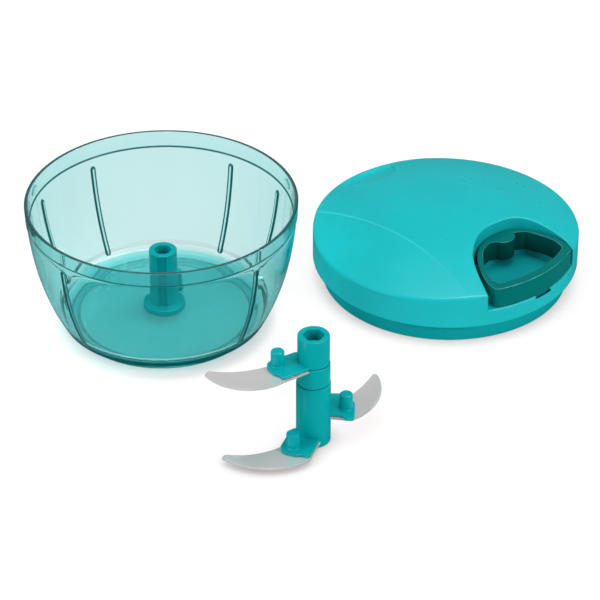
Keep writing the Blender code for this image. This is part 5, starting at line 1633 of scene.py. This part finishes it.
def tube(path, radius, sides=16, closed=False):
    # a round tube along a path, with flat ends when it is open
    points, faces = [], []
    count = len(path)
    up = Vector((0, 0, 1))
    for i, here in enumerate(path):
        if closed:
            ahead = Vector(path[(i + 1) % count]) - Vector(path[i - 1])
        else:
            ahead = Vector(path[min(i + 1, count - 1)]) - Vector(path[max(i - 1, 0)])
        ahead.normalize()
        side = ahead.cross(up)
        side = side.normalized() if side.length > 0.01 else Vector((1, 0, 0))
        rise = side.cross(ahead)
        for k in range(sides):
            turn = math.tau * k / sides
            out = side * radius * math.cos(turn)
            points.append(tuple(Vector(here) + out + rise * radius * math.sin(turn)))
    for i in range(count if closed else count - 1):
        low, high = i * sides, (i + 1) % count * sides
        for k in range(sides):
            j = (k + 1) % sides
            faces.append((low + k, low + j, high + j, high + k))
    if not closed:
        faces.append(tuple(range(sides)))
        faces.append(tuple(range((count - 1) * sides, count * sides)))
    return points, faces


def buildCord():
    line, height = cover["cordLine"], cover["cordHeight"]
    count = 60
    length = cord["end"] - cord["start"]
    path = [(cord["start"] + length * k / count, line, height) for k in range(count + 1)]
    run = makePiece("pullCord", [tube(path, cord["radius"], 20)], lidPlace, cordNylon)
    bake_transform(run)
    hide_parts("pull_cord")
    # stopper knot: a trefoil drawn tight
    knot = []
    for k in range(120):
        t = math.tau * k / 120
        knot.append((cord["knotAt"] + cord["knotSize"] * (math.sin(t) + 2 * math.sin(2 * t)),
                     line + cord["knotSize"] * (math.cos(t) - 2 * math.cos(2 * t)),
                     height - cord["knotDepth"] * math.sin(3 * t)))
    piece = makePiece("cordKnot", [tube(knot, cord["knotCord"], 14, closed=True)], lidPlace, cordNylon)
    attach(piece, "handle")
    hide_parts("cord_knot")
    # the cord wound on the drum, two layers of two turns
    low, high = cord["drumLow"], cord["drumHigh"]
    coil = []
    perTurn = 56
    for layer, radius in enumerate(cord["layers"]):
        for k in range(2 * perTurn + 1):
            share = k / (2 * perTurn)
            share = share if layer == 0 else 1 - share
            z = low + cord["radius"] + (high - low - 2 * cord["radius"]) * share
            coil.append((*polar(radius, 360 * k / perTurn), z))
    piece = makePiece("woundCord", [tube(coil, cord["radius"] * cord["woundShare"], 12)], lidPlace, cordNylon)
    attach(piece, "reel")
    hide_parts("wound_cord")


guide = {"radius": 2.3, "flange": 3.4, "flangeThickness": 1.0, "bore": 1.3, "from": 18.7, "to": 21.5}


def buildGuide():
    start, end = guide["from"], guide["to"]
    flangeEnd = start + guide["flangeThickness"]
    corners = [(guide["bore"], start, 0.35), (guide["flange"], start, 0.2), (guide["flange"], flangeEnd, 0.2),
               (guide["radius"], flangeEnd, 0.1), (guide["radius"], end, 0.3), (guide["bore"], end, 0.4)]
    shape = spun(softened(corners), evenAngles(40), closed=True)
    piece = makePiece("cordGuide", [shape], lidPlace @ cordWay, whiteNylon)
    settle(piece, "lid", ["cord_guide"])


buildHandle()
buildCord()
buildGuide()
print("handle and cord built")

# the pieces whose CAD shape is right get their finish
finishes = {
    "reel": whiteNylon, "reel_flange": whiteNylon, "drive_shaft": whiteNylon, "shaft_bush": bushBrass,
    "mainspring": screwSteel, "shaft_washer": screwSteel, "shaft_screw": screwSteel,
}
for nodeName, finish in finishes.items():
    for place in frame["nodes"][nodeName].material_slots:
        place.material = finish
print("CAD nodes finished")
